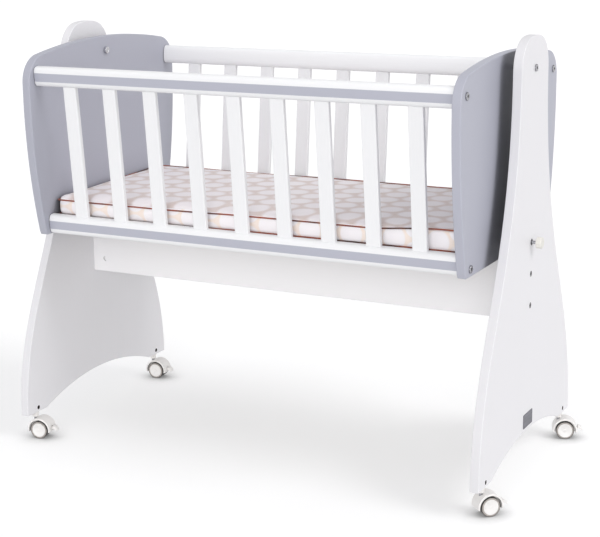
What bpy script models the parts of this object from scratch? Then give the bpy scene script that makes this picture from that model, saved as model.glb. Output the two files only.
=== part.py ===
"""Rocking cradle: a slatted basket that swings between two board uprights on four braked casters.

Metres, +Z up, +X along the cradle's length, -Y its front. The origin is on the floor, midway between
the uprights and under the pivots.
"""

import math

import bmesh
import bpy
from mathutils import Matrix, Vector

# Clearances: between pieces that touch, how far a cutter runs past what it cuts, and how near points merge
SEAT = 0.0003
OVERRUN = 0.002
WELD_DISTANCE = 0.00002

# Boards
BOARD_THICKNESS = 0.018
BOARD_EDGE_ROUND = 0.0018

# Basket: the end panels and where they hang
INSIDE_LENGTH = 0.900
PIVOT_HEIGHT = 0.8045
PIVOT_GAP = 0.026
PANEL_RISE = 0.030
PANEL_DROP = 0.360
PANEL_HALF_WIDTH = 0.2735
PANEL_DRAW = 0.0375
PANEL_CROWN_RADIUS = 1.353
PANEL_SHOULDER_RADIUS = 0.055
PANEL_SIDE_STRAIGHT = 0.020

# Rails and slats
RAIL_THICKNESS = 0.025
RAIL_HEIGHT = 0.040
RAIL_ROUNDNESS = 3.2
TOP_RAIL_INSET = 0.0275
TOP_RAIL_DROP = 0.0605
BOTTOM_RAIL_INSET = 0.020
BOTTOM_RAIL_RISE = 0.022
SLAT_COUNT = 9
SLAT_WIDTH = 0.030
SLAT_THICKNESS = 0.010
SLAT_EDGE_RADIUS = 0.002
MORTISE_DEPTH = 0.010

# Base board and mattress
BASE_THICKNESS = 0.006
BASE_TOP_OVER_RAIL_CENTRE = 0.014
RAIL_GROOVE_DEPTH = 0.006
PANEL_GROOVE_DEPTH = 0.005
MATTRESS_THICKNESS = 0.037
MATTRESS_CROWN = 0.007
MATTRESS_END_GAP = 0.002
MATTRESS_SIDE_GAP = 0.001
MATTRESS_SIDE_DRAW = 0.003
MATTRESS_CORNER_RADIUS = 0.020
MATTRESS_CUTS_LONG = 9
MATTRESS_CUTS_WIDE = 5
MATTRESS_CREASE = 0.55
MATTRESS_CORNER_PULL_SHARE = 0.3
MATTRESS_CORNER_POWER = 8

# A unit cube's faces lie at half, less the rounding of 32-bit numbers
HALF_CUBE = 0.499

# Uprights
CROWN_RISE = 0.061
CROWN_RADIUS = 0.190
SHOULDER_RADIUS = 0.060
NECK_HALF_WIDTH = 0.078
FOOT_HALF_WIDTH = 0.2725
FOOT_LENGTH = 0.0675
ARCH_RISE = 0.0375
NECK_HANDLE_SHARE = 0.52
FOOT_HANDLE_SHARE = 0.36

# Stretcher and its bolts
STRETCHER_THICKNESS = 0.018
STRETCHER_HEIGHT = 0.120
SWING_GAP = 0.008
STRETCHER_BOLT_SPACING = 0.063
STRETCHER_NUT_INSET = 0.030
STRETCHER_NUT_RADIUS = 0.005
STRETCHER_NUT_LENGTH = 0.012
STRETCHER_BOLT_RADIUS = 0.003
STRETCHER_BOLT_END = 0.008
STRETCHER_HEAD_RADIUS = 0.0055
STRETCHER_HEAD_HEIGHT = 0.003
COUNTERBORE_DEPTH = 0.0035

# Pivot bolts
PIVOT_BOLT_RADIUS = 0.004
PIVOT_HEAD_RADIUS = 0.007
PIVOT_HEAD_HEIGHT = 0.0025
PIVOT_NUT_RADIUS = 0.0075
PIVOT_NUT_HEIGHT = 0.006

# Rail bolts
RAIL_BOLT_RADIUS = 0.003
RAIL_BOLT_REACH = 0.040
RAIL_HEAD_RADIUS = 0.0075
RAIL_HEAD_HEIGHT = 0.0024
RAIL_BOLT_SHIFTS = {"top": 0.003, "bottom": -0.007}
HEAD_EDGE_ROUND = 0.0008
SOCKET_RADIUS = 0.0024
SOCKET_DEPTH = 0.0013

# Swing lock
LOCK_RISE = 0.026
LOCK_PIN_RADIUS = 0.0032
LOCK_PIN_TIP_GAP = 0.001
LOCK_KNOB_STANDOFF = 0.0105
LOCK_KNOB_RADIUS = 0.0113
LOCK_KNOB_LENGTH = 0.0115
LOCK_KNOB_FLUTES = 12
LOCK_KNOB_FLUTE_DEPTH = 0.0007
LOCK_KNOB_EDGE_ROUND = 0.0012
LOCK_MOUTH_RADIUS = 0.0065
LOCK_MOUTH_DEPTH = 0.003
LOCK_HOLE_DEPTH = 0.012

# Casters
WHEEL_RADIUS = 0.019
WHEEL_STEPS = 24
WHEEL_SET_WIDTH = 0.0334
WHEEL_SIDE_GAP = 0.0006
WHEEL_CAP_RADIUS = 0.0154
WHEEL_CAP_BULGE = 0.0012
TREAD_EDGE = 0.0016
AXLE_RADIUS = 0.003
CASTER_TRAIL = 0.0137
WEB_THICKNESS = 0.011
HOOD_RADIUS = 0.0255
HOOD_WALL = 0.0033
BOSS_RADIUS = 0.0075
AXLE_BOSS_DROP = 0.007
STEM_RADIUS = 0.0035
STEM_DEPTH_BELOW_AXLE = 0.003
COLLAR_HEIGHT = 0.0105
COLLAR_RADIUS = 0.0075
COLLAR_WAIST_RADIUS = 0.0052
STEM_INSET = 0.0375
BARREL_NUT_RADIUS = 0.004
BARREL_NUT_RECESS = 0.001
BARREL_NUT_RISE = 0.0095
LEVER_PIVOT_RADIUS = 0.019
LEVER_PIVOT_ANGLE = math.radians(10)
LEVER_ARM_WIDTH = 0.006
LEVER_ARM_THICKNESS = 0.004
LEVER_ROOT_RADIUS = 0.0022
LEVER_PIN_RADIUS = 0.001
LEVER_TAB_GAP = 0.0012
LEVER_TAB_LENGTH = 0.0115
LEVER_TAB_WIDTH = 0.014
LEVER_TAB_THICKNESS = 0.003
LEVER_TAB_CORNER = 0.003
LEVER_SLOT_ROOM = 0.003

# Which way each caster's trail points: turned from +X towards +Y
CASTER_TURNS = {
    ("left", "front"): math.radians(10),
    ("left", "back"): math.radians(4),
    ("right", "front"): math.radians(44),
    ("right", "back"): math.radians(22),
}

# How finely round shapes are drawn
ARC_STEPS = 7
SIDE_STEPS = 14
HOOD_STEPS = 16
ROUND_STEPS = 16
SMALL_ROUND_STEPS = 12
RAIL_POINTS = 20
FLUTE_STEPS = 4
SMOOTH_ANGLE = math.radians(40)
BEVEL_SEGMENTS = 1

# Places that follow from the sizes
SIDES = {"left": -1, "right": 1}
ENDS = {"front": -1, "back": 1}
PANEL_INNER_X = INSIDE_LENGTH / 2
PANEL_OUTER_X = PANEL_INNER_X + BOARD_THICKNESS
UPRIGHT_INNER_X = PANEL_OUTER_X + PIVOT_GAP
UPRIGHT_OUTER_X = UPRIGHT_INNER_X + BOARD_THICKNESS
UPRIGHT_MIDDLE_X = UPRIGHT_INNER_X + BOARD_THICKNESS / 2
PANEL_TOP = PIVOT_HEIGHT + PANEL_RISE
PANEL_BOTTOM = PIVOT_HEIGHT - PANEL_DROP
PANEL_FOOT_HALF_WIDTH = PANEL_HALF_WIDTH - PANEL_DRAW
TOP_RAIL_Y = PANEL_HALF_WIDTH - TOP_RAIL_INSET
TOP_RAIL_Z = PANEL_TOP - TOP_RAIL_DROP
BOTTOM_RAIL_Y = PANEL_FOOT_HALF_WIDTH - BOTTOM_RAIL_INSET
BOTTOM_RAIL_Z = PANEL_BOTTOM + BOTTOM_RAIL_RISE
SIDE_SLOPE = math.atan2(TOP_RAIL_Y - BOTTOM_RAIL_Y, TOP_RAIL_Z - BOTTOM_RAIL_Z)
RAIL_SPACING = math.hypot(TOP_RAIL_Y - BOTTOM_RAIL_Y, TOP_RAIL_Z - BOTTOM_RAIL_Z)
SLAT_PITCH = (INSIDE_LENGTH + SLAT_WIDTH) / (SLAT_COUNT + 1)
BASE_TOP = BOTTOM_RAIL_Z + BASE_TOP_OVER_RAIL_CENTRE
BASE_HALF_WIDTH = BOTTOM_RAIL_Y - RAIL_THICKNESS / 2 + RAIL_GROOVE_DEPTH
AXLE_HEIGHT = WHEEL_RADIUS * math.cos(math.pi / WHEEL_STEPS)
COLLAR_BOTTOM = AXLE_HEIGHT + HOOD_RADIUS + SEAT
FOOT_BOTTOM = COLLAR_BOTTOM + COLLAR_HEIGHT + SEAT
UPRIGHT_TOP = PIVOT_HEIGHT + CROWN_RISE
STEM_Y = FOOT_HALF_WIDTH - STEM_INSET
BARREL_NUT_Z = FOOT_BOTTOM + BARREL_NUT_RISE
STRETCHER_TOP = PANEL_BOTTOM - SWING_GAP
STRETCHER_MIDDLE_Z = STRETCHER_TOP - STRETCHER_HEIGHT / 2
LOCK_Z = PANEL_BOTTOM + LOCK_RISE

# Colours (linear), roughness and metallic value of each material
MATERIALS = {
    "white_board": ((0.80, 0.79, 0.81), 0.45, 0.0),
    "white_paint": ((0.86, 0.86, 0.87), 0.40, 0.0),
    "grey_paint": ((0.37, 0.38, 0.44), 0.45, 0.0),
    "hardboard": ((0.62, 0.58, 0.52), 0.70, 0.0),
    "cotton": ((0.82, 0.74, 0.70), 0.95, 0.0),
    "steel": ((0.60, 0.60, 0.62), 0.28, 1.0),
    "cream_plastic": ((0.82, 0.78, 0.66), 0.40, 0.0),
    "white_plastic": ((0.84, 0.82, 0.80), 0.35, 0.0),
    "grey_wheel": ((0.20, 0.20, 0.20), 0.55, 0.0),
}


def clear_scene():
    """Remove every object that the opened file holds."""
    for obj in list(bpy.data.objects):
        bpy.data.objects.remove(obj, do_unlink=True)


def make_collection(name):
    collection = bpy.data.collections.new(name)
    bpy.context.scene.collection.children.link(collection)
    return collection


def make_material(name):
    """A Principled material of that name from the table."""
    colour, roughness, metallic = MATERIALS[name]
    material = bpy.data.materials.new(name)
    material.use_nodes = True
    shader = material.node_tree.nodes["Principled BSDF"]
    shader.inputs["Base Color"].default_value = (*colour, 1)
    shader.inputs["Roughness"].default_value = roughness
    shader.inputs["Metallic"].default_value = metallic
    material.diffuse_color = (*colour, 1)
    return material


clear_scene()
PARTS = make_collection("rocking_cradle")
CUTTERS = make_collection("cutters")


def finish_part(obj, name, material, parent=None, location=(0, 0, 0), rotation=(0, 0, 0)):
    """Name a piece, give it its material, place it, and shade its round faces smooth."""
    obj.name = name
    obj.data.name = name
    obj.data.materials.clear()
    obj.data.materials.append(make_material(material))
    obj.parent = parent
    obj.location = location
    obj.rotation_euler = rotation
    return obj


def finish_cutter(obj, name, parent=None, location=(0, 0, 0), rotation=(0, 0, 0)):
    """Place a cutter and keep it out of the model."""
    obj.name = name
    obj.parent = parent
    obj.location = location
    obj.rotation_euler = rotation
    obj.hide_render = True
    obj.display_type = "WIRE"
    PARTS.objects.unlink(obj)
    CUTTERS.objects.link(obj)
    return obj


def object_from_mesh(mesh):
    obj = bpy.data.objects.new(mesh.name, mesh)
    PARTS.objects.link(obj)
    return obj


def object_from_bmesh(bm, name):
    mesh = bpy.data.meshes.new(name)
    bm.to_mesh(mesh)
    bm.free()
    mesh.shade_smooth()
    mesh.set_sharp_from_angle(angle=SMOOTH_ANGLE)
    return object_from_mesh(mesh)


def make_empty(name, parent=None, location=(0, 0, 0), rotation=(0, 0, 0)):
    """A frame that moving pieces hang from."""
    empty = bpy.data.objects.new(name, None)
    PARTS.objects.link(empty)
    empty.parent = parent
    empty.location = location
    empty.rotation_euler = rotation
    return empty


def cut(target, cutter, operation="DIFFERENCE"):
    """Cut a piece, or join a second shape to it, with an exact Boolean."""
    modifier = target.modifiers.new(cutter.name, "BOOLEAN")
    modifier.operation = operation
    modifier.solver = "EXACT"
    modifier.object = cutter


def round_edges(target, width):
    """Round the sharp edges of a piece before anything is cut out of it."""
    bevel = target.modifiers.new("edges", "BEVEL")
    bevel.width = width
    bevel.segments = BEVEL_SEGMENTS
    bevel.limit_method = "ANGLE"
    bevel.angle_limit = SMOOTH_ANGLE
    bevel.harden_normals = False


def extruded(points, depth):
    """A flat outline drawn in X and Y as a filled 2D curve, thickened by half of depth each way along Z."""
    curve = bpy.data.curves.new("outline", "CURVE")
    curve.dimensions = "2D"
    curve.fill_mode = "BOTH"
    curve.extrude = depth / 2
    spline = curve.splines.new("POLY")
    spline.points.add(len(points) - 1)
    for point, (x, y) in zip(spline.points, points):
        point.co = (x, y, 0, 1)
    spline.use_cyclic_u = True
    drawn = bpy.data.objects.new("outline", curve)
    PARTS.objects.link(drawn)
    bpy.context.view_layer.update()
    evaluated = drawn.evaluated_get(bpy.context.evaluated_depsgraph_get())
    mesh = bpy.data.meshes.new_from_object(evaluated)
    bpy.data.objects.remove(drawn, do_unlink=True)
    bm = bmesh.new()
    bm.from_mesh(mesh)
    bpy.data.meshes.remove(mesh)
    bmesh.ops.remove_doubles(bm, verts=bm.verts, dist=WELD_DISTANCE)
    return object_from_bmesh(bm, "outline")


def block(size):
    """A box centred on its origin."""
    bm = bmesh.new()
    bmesh.ops.create_cube(bm, size=1)
    bmesh.ops.scale(bm, vec=size, verts=bm.verts)
    return object_from_bmesh(bm, "block")


def cylinder(radius, length, steps=ROUND_STEPS):
    """A round bar along Z, centred on its origin, with a flat side facing down X."""
    bm = bmesh.new()
    turn = Matrix.Rotation(math.pi / steps, 4, "Z")
    bmesh.ops.create_cone(
        bm, cap_ends=True, segments=steps, radius1=radius, radius2=radius, depth=length, matrix=turn
    )
    return object_from_bmesh(bm, "cylinder")


def turned(profile, steps=ROUND_STEPS):
    """A turned shape: the profile lists (radius, height) from the top of its axis down to the bottom."""
    bm = bmesh.new()
    verts = [bm.verts.new((radius, 0, height)) for radius, height in profile]
    for upper, lower in zip(verts, verts[1:]):
        bm.edges.new((upper, lower))
    obj = object_from_bmesh(bm, "profile")
    screw = obj.modifiers.new("turn", "SCREW")
    screw.axis = "Z"
    screw.angle = 2 * math.pi
    screw.steps = steps
    screw.render_steps = steps
    screw.use_merge_vertices = True
    screw.merge_threshold = WELD_DISTANCE
    screw.use_smooth_shade = True
    return obj


def arc(centre, radius, start, end, steps=ARC_STEPS):
    """Points along an arc about centre, both ends included."""
    turns = [start + (end - start) * i / steps for i in range(steps + 1)]
    return [(centre[0] + radius * math.cos(a), centre[1] + radius * math.sin(a)) for a in turns]


def bezier(start, start_handle, end_handle, end, steps=SIDE_STEPS):
    """Points along a cubic curve, both ends included."""
    points = []
    for i in range(steps + 1):
        t = i / steps
        weights = ((1 - t) ** 3, 3 * t * (1 - t) ** 2, 3 * t**2 * (1 - t), t**3)
        shape = (start, start_handle, end_handle, end)
        points.append(tuple(sum(w * p[axis] for w, p in zip(weights, shape)) for axis in range(2)))
    return points


def mirrored_outline(half):
    """A closed outline from its right half, which is listed from the top of the middle line down."""
    left = [(-x, y) for x, y in reversed(half) if x > WELD_DISTANCE]
    return half + left


def rounded_rectangle(width, height, radius, steps):
    points = []
    corners = [(1, 1, 0), (-1, 1, 1), (-1, -1, 2), (1, -1, 3)]
    for side_x, side_y, quarter in corners:
        centre = (side_x * (width / 2 - radius), side_y * (height / 2 - radius))
        start = quarter * math.pi / 2
        points += arc(centre, radius, start, start + math.pi / 2, steps)
    return points


def superellipse(width, height, roundness, count):
    """A pillow-shaped section between an ellipse and a rectangle."""
    points = []
    for i in range(count):
        turn = 2 * math.pi * i / count
        across, up = math.cos(turn), math.sin(turn)
        x = math.copysign(abs(across) ** (2 / roundness), across) * width / 2
        y = math.copysign(abs(up) ** (2 / roundness), up) * height / 2
        points.append((x, y))
    return points


def crowned_top(half_width, top, crown_radius, shoulder_radius):
    """Right half of a domed top: a wide crown arc that runs into a shoulder arc, down to an upright edge."""
    reach = half_width - shoulder_radius
    crown_centre = top - crown_radius
    rise = math.sqrt((crown_radius - shoulder_radius) ** 2 - reach**2)
    lean = math.atan2(rise, reach)
    crown = arc((0, crown_centre), crown_radius, math.pi / 2, lean)
    shoulder = arc((reach, crown_centre + rise), shoulder_radius, lean, 0)
    return crown + shoulder[1:]


# Turns that lay a flat outline in the YZ plane, and that point a turned shape's axis along X
OUTLINE_TO_YZ = (math.pi / 2, 0, math.pi / 2)
AXIS_TO_X = {-1: (0, -math.pi / 2, 0), 1: (0, math.pi / 2, 0)}
OUTLINE_TO_XZ = (math.pi / 2, 0, 0)


def bore(target, name, radius, length, location, parent=None, rotation=(0, 0, 0), steps=ROUND_STEPS):
    """Cut a round hole along its own Z axis, centred at location."""
    cutter = cylinder(radius, length, steps)
    cut(target, finish_cutter(cutter, name, parent, location, rotation))


def bolt_profile(head_radius, head_height, shank_radius, shank_length):
    """A bolt with its head's underside at height 0 and its tip pointing down."""
    return [
        (0, head_height),
        (head_radius - HEAD_EDGE_ROUND, head_height),
        (head_radius, head_height - HEAD_EDGE_ROUND),
        (head_radius, 0),
        (shank_radius, 0),
        (shank_radius, HEAD_EDGE_ROUND - shank_length),
        (shank_radius - HEAD_EDGE_ROUND, -shank_length),
        (0, -shank_length),
    ]


def cut_socket(bolt, name, head_height, parent, location, rotation):
    """Cut a hexagonal key socket into a bolt's head."""
    cutter = cylinder(SOCKET_RADIUS, SOCKET_DEPTH + OVERRUN, steps=6)
    lift = head_height + (OVERRUN - SOCKET_DEPTH) / 2
    for vert in cutter.data.vertices:
        vert.co.z += lift
    cut(bolt, finish_cutter(cutter, name + "_socket", parent, location, rotation))


def upright_outline():
    """Round top, narrow neck, sides that sweep out to the feet, and an arch between the feet."""
    top = crowned_top(NECK_HALF_WIDTH, UPRIGHT_TOP, CROWN_RADIUS, SHOULDER_RADIUS)
    neck = top[-1]
    foot = (FOOT_HALF_WIDTH, FOOT_BOTTOM)
    height = neck[1] - foot[1]
    side = bezier(
        neck,
        (neck[0], neck[1] - NECK_HANDLE_SHARE * height),
        (foot[0], foot[1] + FOOT_HANDLE_SHARE * height),
        foot,
    )
    chord = FOOT_HALF_WIDTH - FOOT_LENGTH
    arch_radius = (chord**2 + ARCH_RISE**2) / (2 * ARCH_RISE)
    half_turn = math.asin(chord / arch_radius)
    centre = (0, FOOT_BOTTOM + ARCH_RISE - arch_radius)
    arch = arc(centre, arch_radius, math.pi / 2 - half_turn, math.pi / 2)
    return mirrored_outline(top + side[1:] + arch)


def make_upright(side_name, parent):
    side = SIDES[side_name]
    upright = extruded(upright_outline(), BOARD_THICKNESS)
    middle = (side * UPRIGHT_MIDDLE_X, 0, 0)
    finish_part(upright, "upright_" + side_name, "white_board", parent, middle, OUTLINE_TO_YZ)
    round_edges(upright, BOARD_EDGE_ROUND)
    through = BOARD_THICKNESS + 2 * OVERRUN
    across = AXIS_TO_X[1]
    name = upright.name
    pivot_at = (side * UPRIGHT_MIDDLE_X, 0, PIVOT_HEIGHT)
    bore(upright, name + "_pivot_bore", PIVOT_BOLT_RADIUS + SEAT, through, pivot_at, parent, across)
    for level_name, level in (("upper", 1), ("lower", -1)):
        height = STRETCHER_MIDDLE_Z + level * STRETCHER_BOLT_SPACING / 2
        label = name + "_" + level_name
        radius = STRETCHER_BOLT_RADIUS + SEAT
        bolt_at = (side * UPRIGHT_MIDDLE_X, 0, height)
        bore(upright, label + "_bolt_bore", radius, through, bolt_at, parent, across)
        depth = 2 * COUNTERBORE_DEPTH
        mouth = (side * UPRIGHT_OUTER_X, 0, height)
        bore(upright, label + "_counterbore", STRETCHER_HEAD_RADIUS + SEAT, depth, mouth, parent, across)
    for end_name, end in ENDS.items():
        label = name + "_" + end_name
        nut_at = (side * UPRIGHT_MIDDLE_X, end * STEM_Y, BARREL_NUT_Z)
        radius = BARREL_NUT_RADIUS + SEAT
        bore(upright, label + "_nut_bore", radius, through, nut_at, parent, across, SMALL_ROUND_STEPS)
        stem_at = (side * UPRIGHT_MIDDLE_X, end * STEM_Y, FOOT_BOTTOM)
        radius = STEM_RADIUS + SEAT
        bore(upright, label + "_stem_bore", radius, 2 * BARREL_NUT_RISE, stem_at, parent)
    if side_name == "right":
        lock_at = (UPRIGHT_MIDDLE_X, 0, LOCK_Z)
        bore(upright, name + "_lock_bore", LOCK_PIN_RADIUS + SEAT, through, lock_at, parent, across)
        mouth = (UPRIGHT_OUTER_X, 0, LOCK_Z)
        bore(upright, name + "_lock_mouth", LOCK_MOUTH_RADIUS, 2 * LOCK_MOUTH_DEPTH, mouth, parent, across)


def make_stretcher(parent):
    length = 2 * (UPRIGHT_INNER_X - SEAT)
    stretcher = block((length, STRETCHER_THICKNESS, STRETCHER_HEIGHT))
    at = (0, 0, STRETCHER_MIDDLE_Z)
    finish_part(stretcher, "stretcher", "white_board", parent, at)
    round_edges(stretcher, BOARD_EDGE_ROUND)
    reach = STRETCHER_NUT_INSET + STRETCHER_BOLT_END + SEAT
    for side_name, side in SIDES.items():
        for level_name, level in (("upper", 1), ("lower", -1)):
            height = STRETCHER_MIDDLE_Z + level * STRETCHER_BOLT_SPACING / 2
            label = "stretcher_" + side_name + "_" + level_name
            bolt_at = (side * UPRIGHT_INNER_X, 0, height)
            radius = STRETCHER_BOLT_RADIUS + SEAT
            bore(stretcher, label + "_bolt_bore", radius, 2 * reach, bolt_at, parent, AXIS_TO_X[1])
            nut_x = side * (UPRIGHT_INNER_X - STRETCHER_NUT_INSET)
            nut_at = (nut_x, -STRETCHER_THICKNESS / 2, height)
            depth = STRETCHER_THICKNESS / 2 + STRETCHER_NUT_LENGTH / 2 + SEAT
            radius = STRETCHER_NUT_RADIUS + SEAT
            bore(stretcher, label + "_nut_bore", radius, 2 * depth, nut_at, parent, OUTLINE_TO_XZ)


def make_stretcher_bolt(side_name, level_name, level, parent):
    """A bolt in its counterbore, with the cross barrel nut that it is screwed into."""
    side = SIDES[side_name]
    height = STRETCHER_MIDDLE_Z + level * STRETCHER_BOLT_SPACING / 2
    seat_x = UPRIGHT_OUTER_X - COUNTERBORE_DEPTH + SEAT
    nut_x = UPRIGHT_INNER_X - STRETCHER_NUT_INSET
    length = seat_x - nut_x + STRETCHER_BOLT_END
    profile = bolt_profile(STRETCHER_HEAD_RADIUS, STRETCHER_HEAD_HEIGHT, STRETCHER_BOLT_RADIUS, length)
    bolt = turned(profile, SMALL_ROUND_STEPS)
    name = "stretcher_bolt_" + side_name + "_" + level_name
    at = (side * seat_x, 0, height)
    finish_part(bolt, name, "steel", parent, at, AXIS_TO_X[side])
    nut = cylinder(STRETCHER_NUT_RADIUS, STRETCHER_NUT_LENGTH)
    cut(bolt, finish_cutter(nut, name + "_nut", parent, (side * nut_x, 0, height), OUTLINE_TO_XZ), "UNION")
    cut_socket(bolt, name, STRETCHER_HEAD_HEIGHT, parent, at, AXIS_TO_X[side])


def panel_outline():
    """Domed top with round shoulders, upright sides that curve in towards a narrower flat foot."""
    top = crowned_top(PANEL_HALF_WIDTH, PANEL_TOP, PANEL_CROWN_RADIUS, PANEL_SHOULDER_RADIUS)
    start = top[-1][1] - PANEL_SIDE_STRAIGHT
    drop = start - PANEL_BOTTOM
    radius = (drop**2 + PANEL_DRAW**2) / (2 * PANEL_DRAW)
    side = arc((PANEL_HALF_WIDTH - radius, start), radius, 0, -math.asin(drop / radius), SIDE_STEPS)
    return mirrored_outline(top + side)


def make_end_panel(side_name, parent):
    """parent is the pivot's empty, so heights here are taken from the pivot."""
    side = SIDES[side_name]
    panel = extruded(panel_outline(), BOARD_THICKNESS)
    middle_x = side * (PANEL_INNER_X + BOARD_THICKNESS / 2)
    at = (middle_x, 0, -PIVOT_HEIGHT)
    name = "end_panel_" + side_name
    finish_part(panel, name, "grey_paint", parent, at, OUTLINE_TO_YZ)
    round_edges(panel, BOARD_EDGE_ROUND)
    through = BOARD_THICKNESS + 2 * OVERRUN
    across = AXIS_TO_X[1]
    bore(panel, name + "_pivot_bore", PIVOT_BOLT_RADIUS + SEAT, through, (middle_x, 0, 0), parent, across)
    for end_name, level_name, y, z in rail_bolt_places():
        label = name + "_" + end_name + "_" + level_name + "_bore"
        radius = RAIL_BOLT_RADIUS + SEAT
        bore(panel, label, radius, through, (middle_x, y, z), parent, across, SMALL_ROUND_STEPS)
    groove = base_groove(name + "_groove", parent)
    cut(panel, groove)
    if side_name == "right":
        lock_at = (PANEL_OUTER_X, 0, LOCK_Z - PIVOT_HEIGHT)
        depth = 2 * LOCK_HOLE_DEPTH
        bore(panel, name + "_lock_hole", LOCK_PIN_RADIUS + SEAT, depth, lock_at, parent, across)


def rail_bolt_places():
    """Name and place of the bolt in each rail, with heights from the pivot; none runs through the rail's middle."""
    centres = {"top": (TOP_RAIL_Y, TOP_RAIL_Z), "bottom": (BOTTOM_RAIL_Y, BOTTOM_RAIL_Z)}
    places = []
    for end_name, end in ENDS.items():
        for level_name, (y, z) in centres.items():
            shift = RAIL_BOLT_SHIFTS[level_name]
            bolt_y = y + shift * math.sin(SIDE_SLOPE)
            bolt_z = z + shift * math.cos(SIDE_SLOPE)
            places.append((end_name, level_name, end * bolt_y, bolt_z - PIVOT_HEIGHT))
    return places


def base_size(clearance):
    """Length, width and thickness of the base board, grown by clearance on every face."""
    length = 2 * (PANEL_INNER_X + PANEL_GROOVE_DEPTH - SEAT + clearance)
    width = 2 * (BASE_HALF_WIDTH - SEAT + clearance)
    return length, width, BASE_THICKNESS + 2 * clearance


def base_groove(name, parent):
    """The space that the base board takes in the pieces that hold it."""
    groove = block(base_size(SEAT))
    return finish_cutter(groove, name, parent, (0, 0, BASE_TOP - BASE_THICKNESS / 2 - PIVOT_HEIGHT))


def make_base_board(parent):
    board = block(base_size(0))
    at = (0, 0, BASE_TOP - BASE_THICKNESS / 2 - PIVOT_HEIGHT)
    finish_part(board, "base_board", "hardboard", parent, at)


def slat_bar(clearance, length):
    """A slat, or with clearance the mortise that takes its end."""
    width = SLAT_WIDTH + 2 * clearance
    thickness = SLAT_THICKNESS + 2 * clearance
    outline = rounded_rectangle(width, thickness, SLAT_EDGE_RADIUS + clearance, 2)
    return extruded(outline, length)


def make_side(end_name, parent):
    """One slatted side: a frame that leans like the slats carries two rails and the slats between them."""
    end = ENDS[end_name]
    middle_y = end * (TOP_RAIL_Y + BOTTOM_RAIL_Y) / 2
    middle_z = (TOP_RAIL_Z + BOTTOM_RAIL_Z) / 2 - PIVOT_HEIGHT
    lean = (-end * SIDE_SLOPE, 0, 0)
    frame = make_empty("side_" + end_name, parent, (0, middle_y, middle_z), lean)
    slat_x = [SLAT_PITCH * (i - (SLAT_COUNT - 1) / 2) for i in range(SLAT_COUNT)]
    for level_name, level in (("top", 1), ("bottom", -1)):
        name = "rail_" + end_name + "_" + level_name
        section = superellipse(RAIL_THICKNESS, RAIL_HEIGHT, RAIL_ROUNDNESS, RAIL_POINTS)
        rail = extruded(section, INSIDE_LENGTH - 2 * SEAT)
        centre_z = level * RAIL_SPACING / 2
        finish_part(rail, name, "white_paint", frame, (0, 0, centre_z), OUTLINE_TO_YZ)
        mouth_z = centre_z - level * RAIL_HEIGHT / 2
        for number, x in enumerate(slat_x, start=1):
            mortise = slat_bar(SEAT, 2 * MORTISE_DEPTH)
            label = name + "_mortise_" + str(number)
            cut(rail, finish_cutter(mortise, label, frame, (x, 0, mouth_z)))
        for side_name, side in SIDES.items():
            label = name + "_" + side_name + "_bore"
            reach = 2 * (RAIL_BOLT_REACH + SEAT)
            radius = RAIL_BOLT_RADIUS + SEAT
            at = (side * PANEL_INNER_X, 0, centre_z + RAIL_BOLT_SHIFTS[level_name])
            bore(rail, label, radius, reach, at, frame, AXIS_TO_X[1], SMALL_ROUND_STEPS)
        if level_name == "bottom":
            cut(rail, base_groove(name + "_groove", parent))
    length = RAIL_SPACING - RAIL_HEIGHT + 2 * (MORTISE_DEPTH - SEAT)
    for number, x in enumerate(slat_x, start=1):
        slat = slat_bar(0, length)
        finish_part(slat, "slat_" + end_name + "_" + str(number), "white_paint", frame, (x, 0, 0))


def make_rail_bolts(parent):
    length = BOARD_THICKNESS + RAIL_BOLT_REACH
    profile = bolt_profile(RAIL_HEAD_RADIUS, RAIL_HEAD_HEIGHT, RAIL_BOLT_RADIUS, length)
    for side_name, side in SIDES.items():
        for end_name, level_name, y, z in rail_bolt_places():
            bolt = turned(profile, SMALL_ROUND_STEPS)
            name = "rail_bolt_" + side_name + "_" + end_name + "_" + level_name
            at = (side * (PANEL_OUTER_X + SEAT), y, z)
            finish_part(bolt, name, "steel", parent, at, AXIS_TO_X[side])
            cut_socket(bolt, name, RAIL_HEAD_HEIGHT, parent, at, AXIS_TO_X[side])


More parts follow.
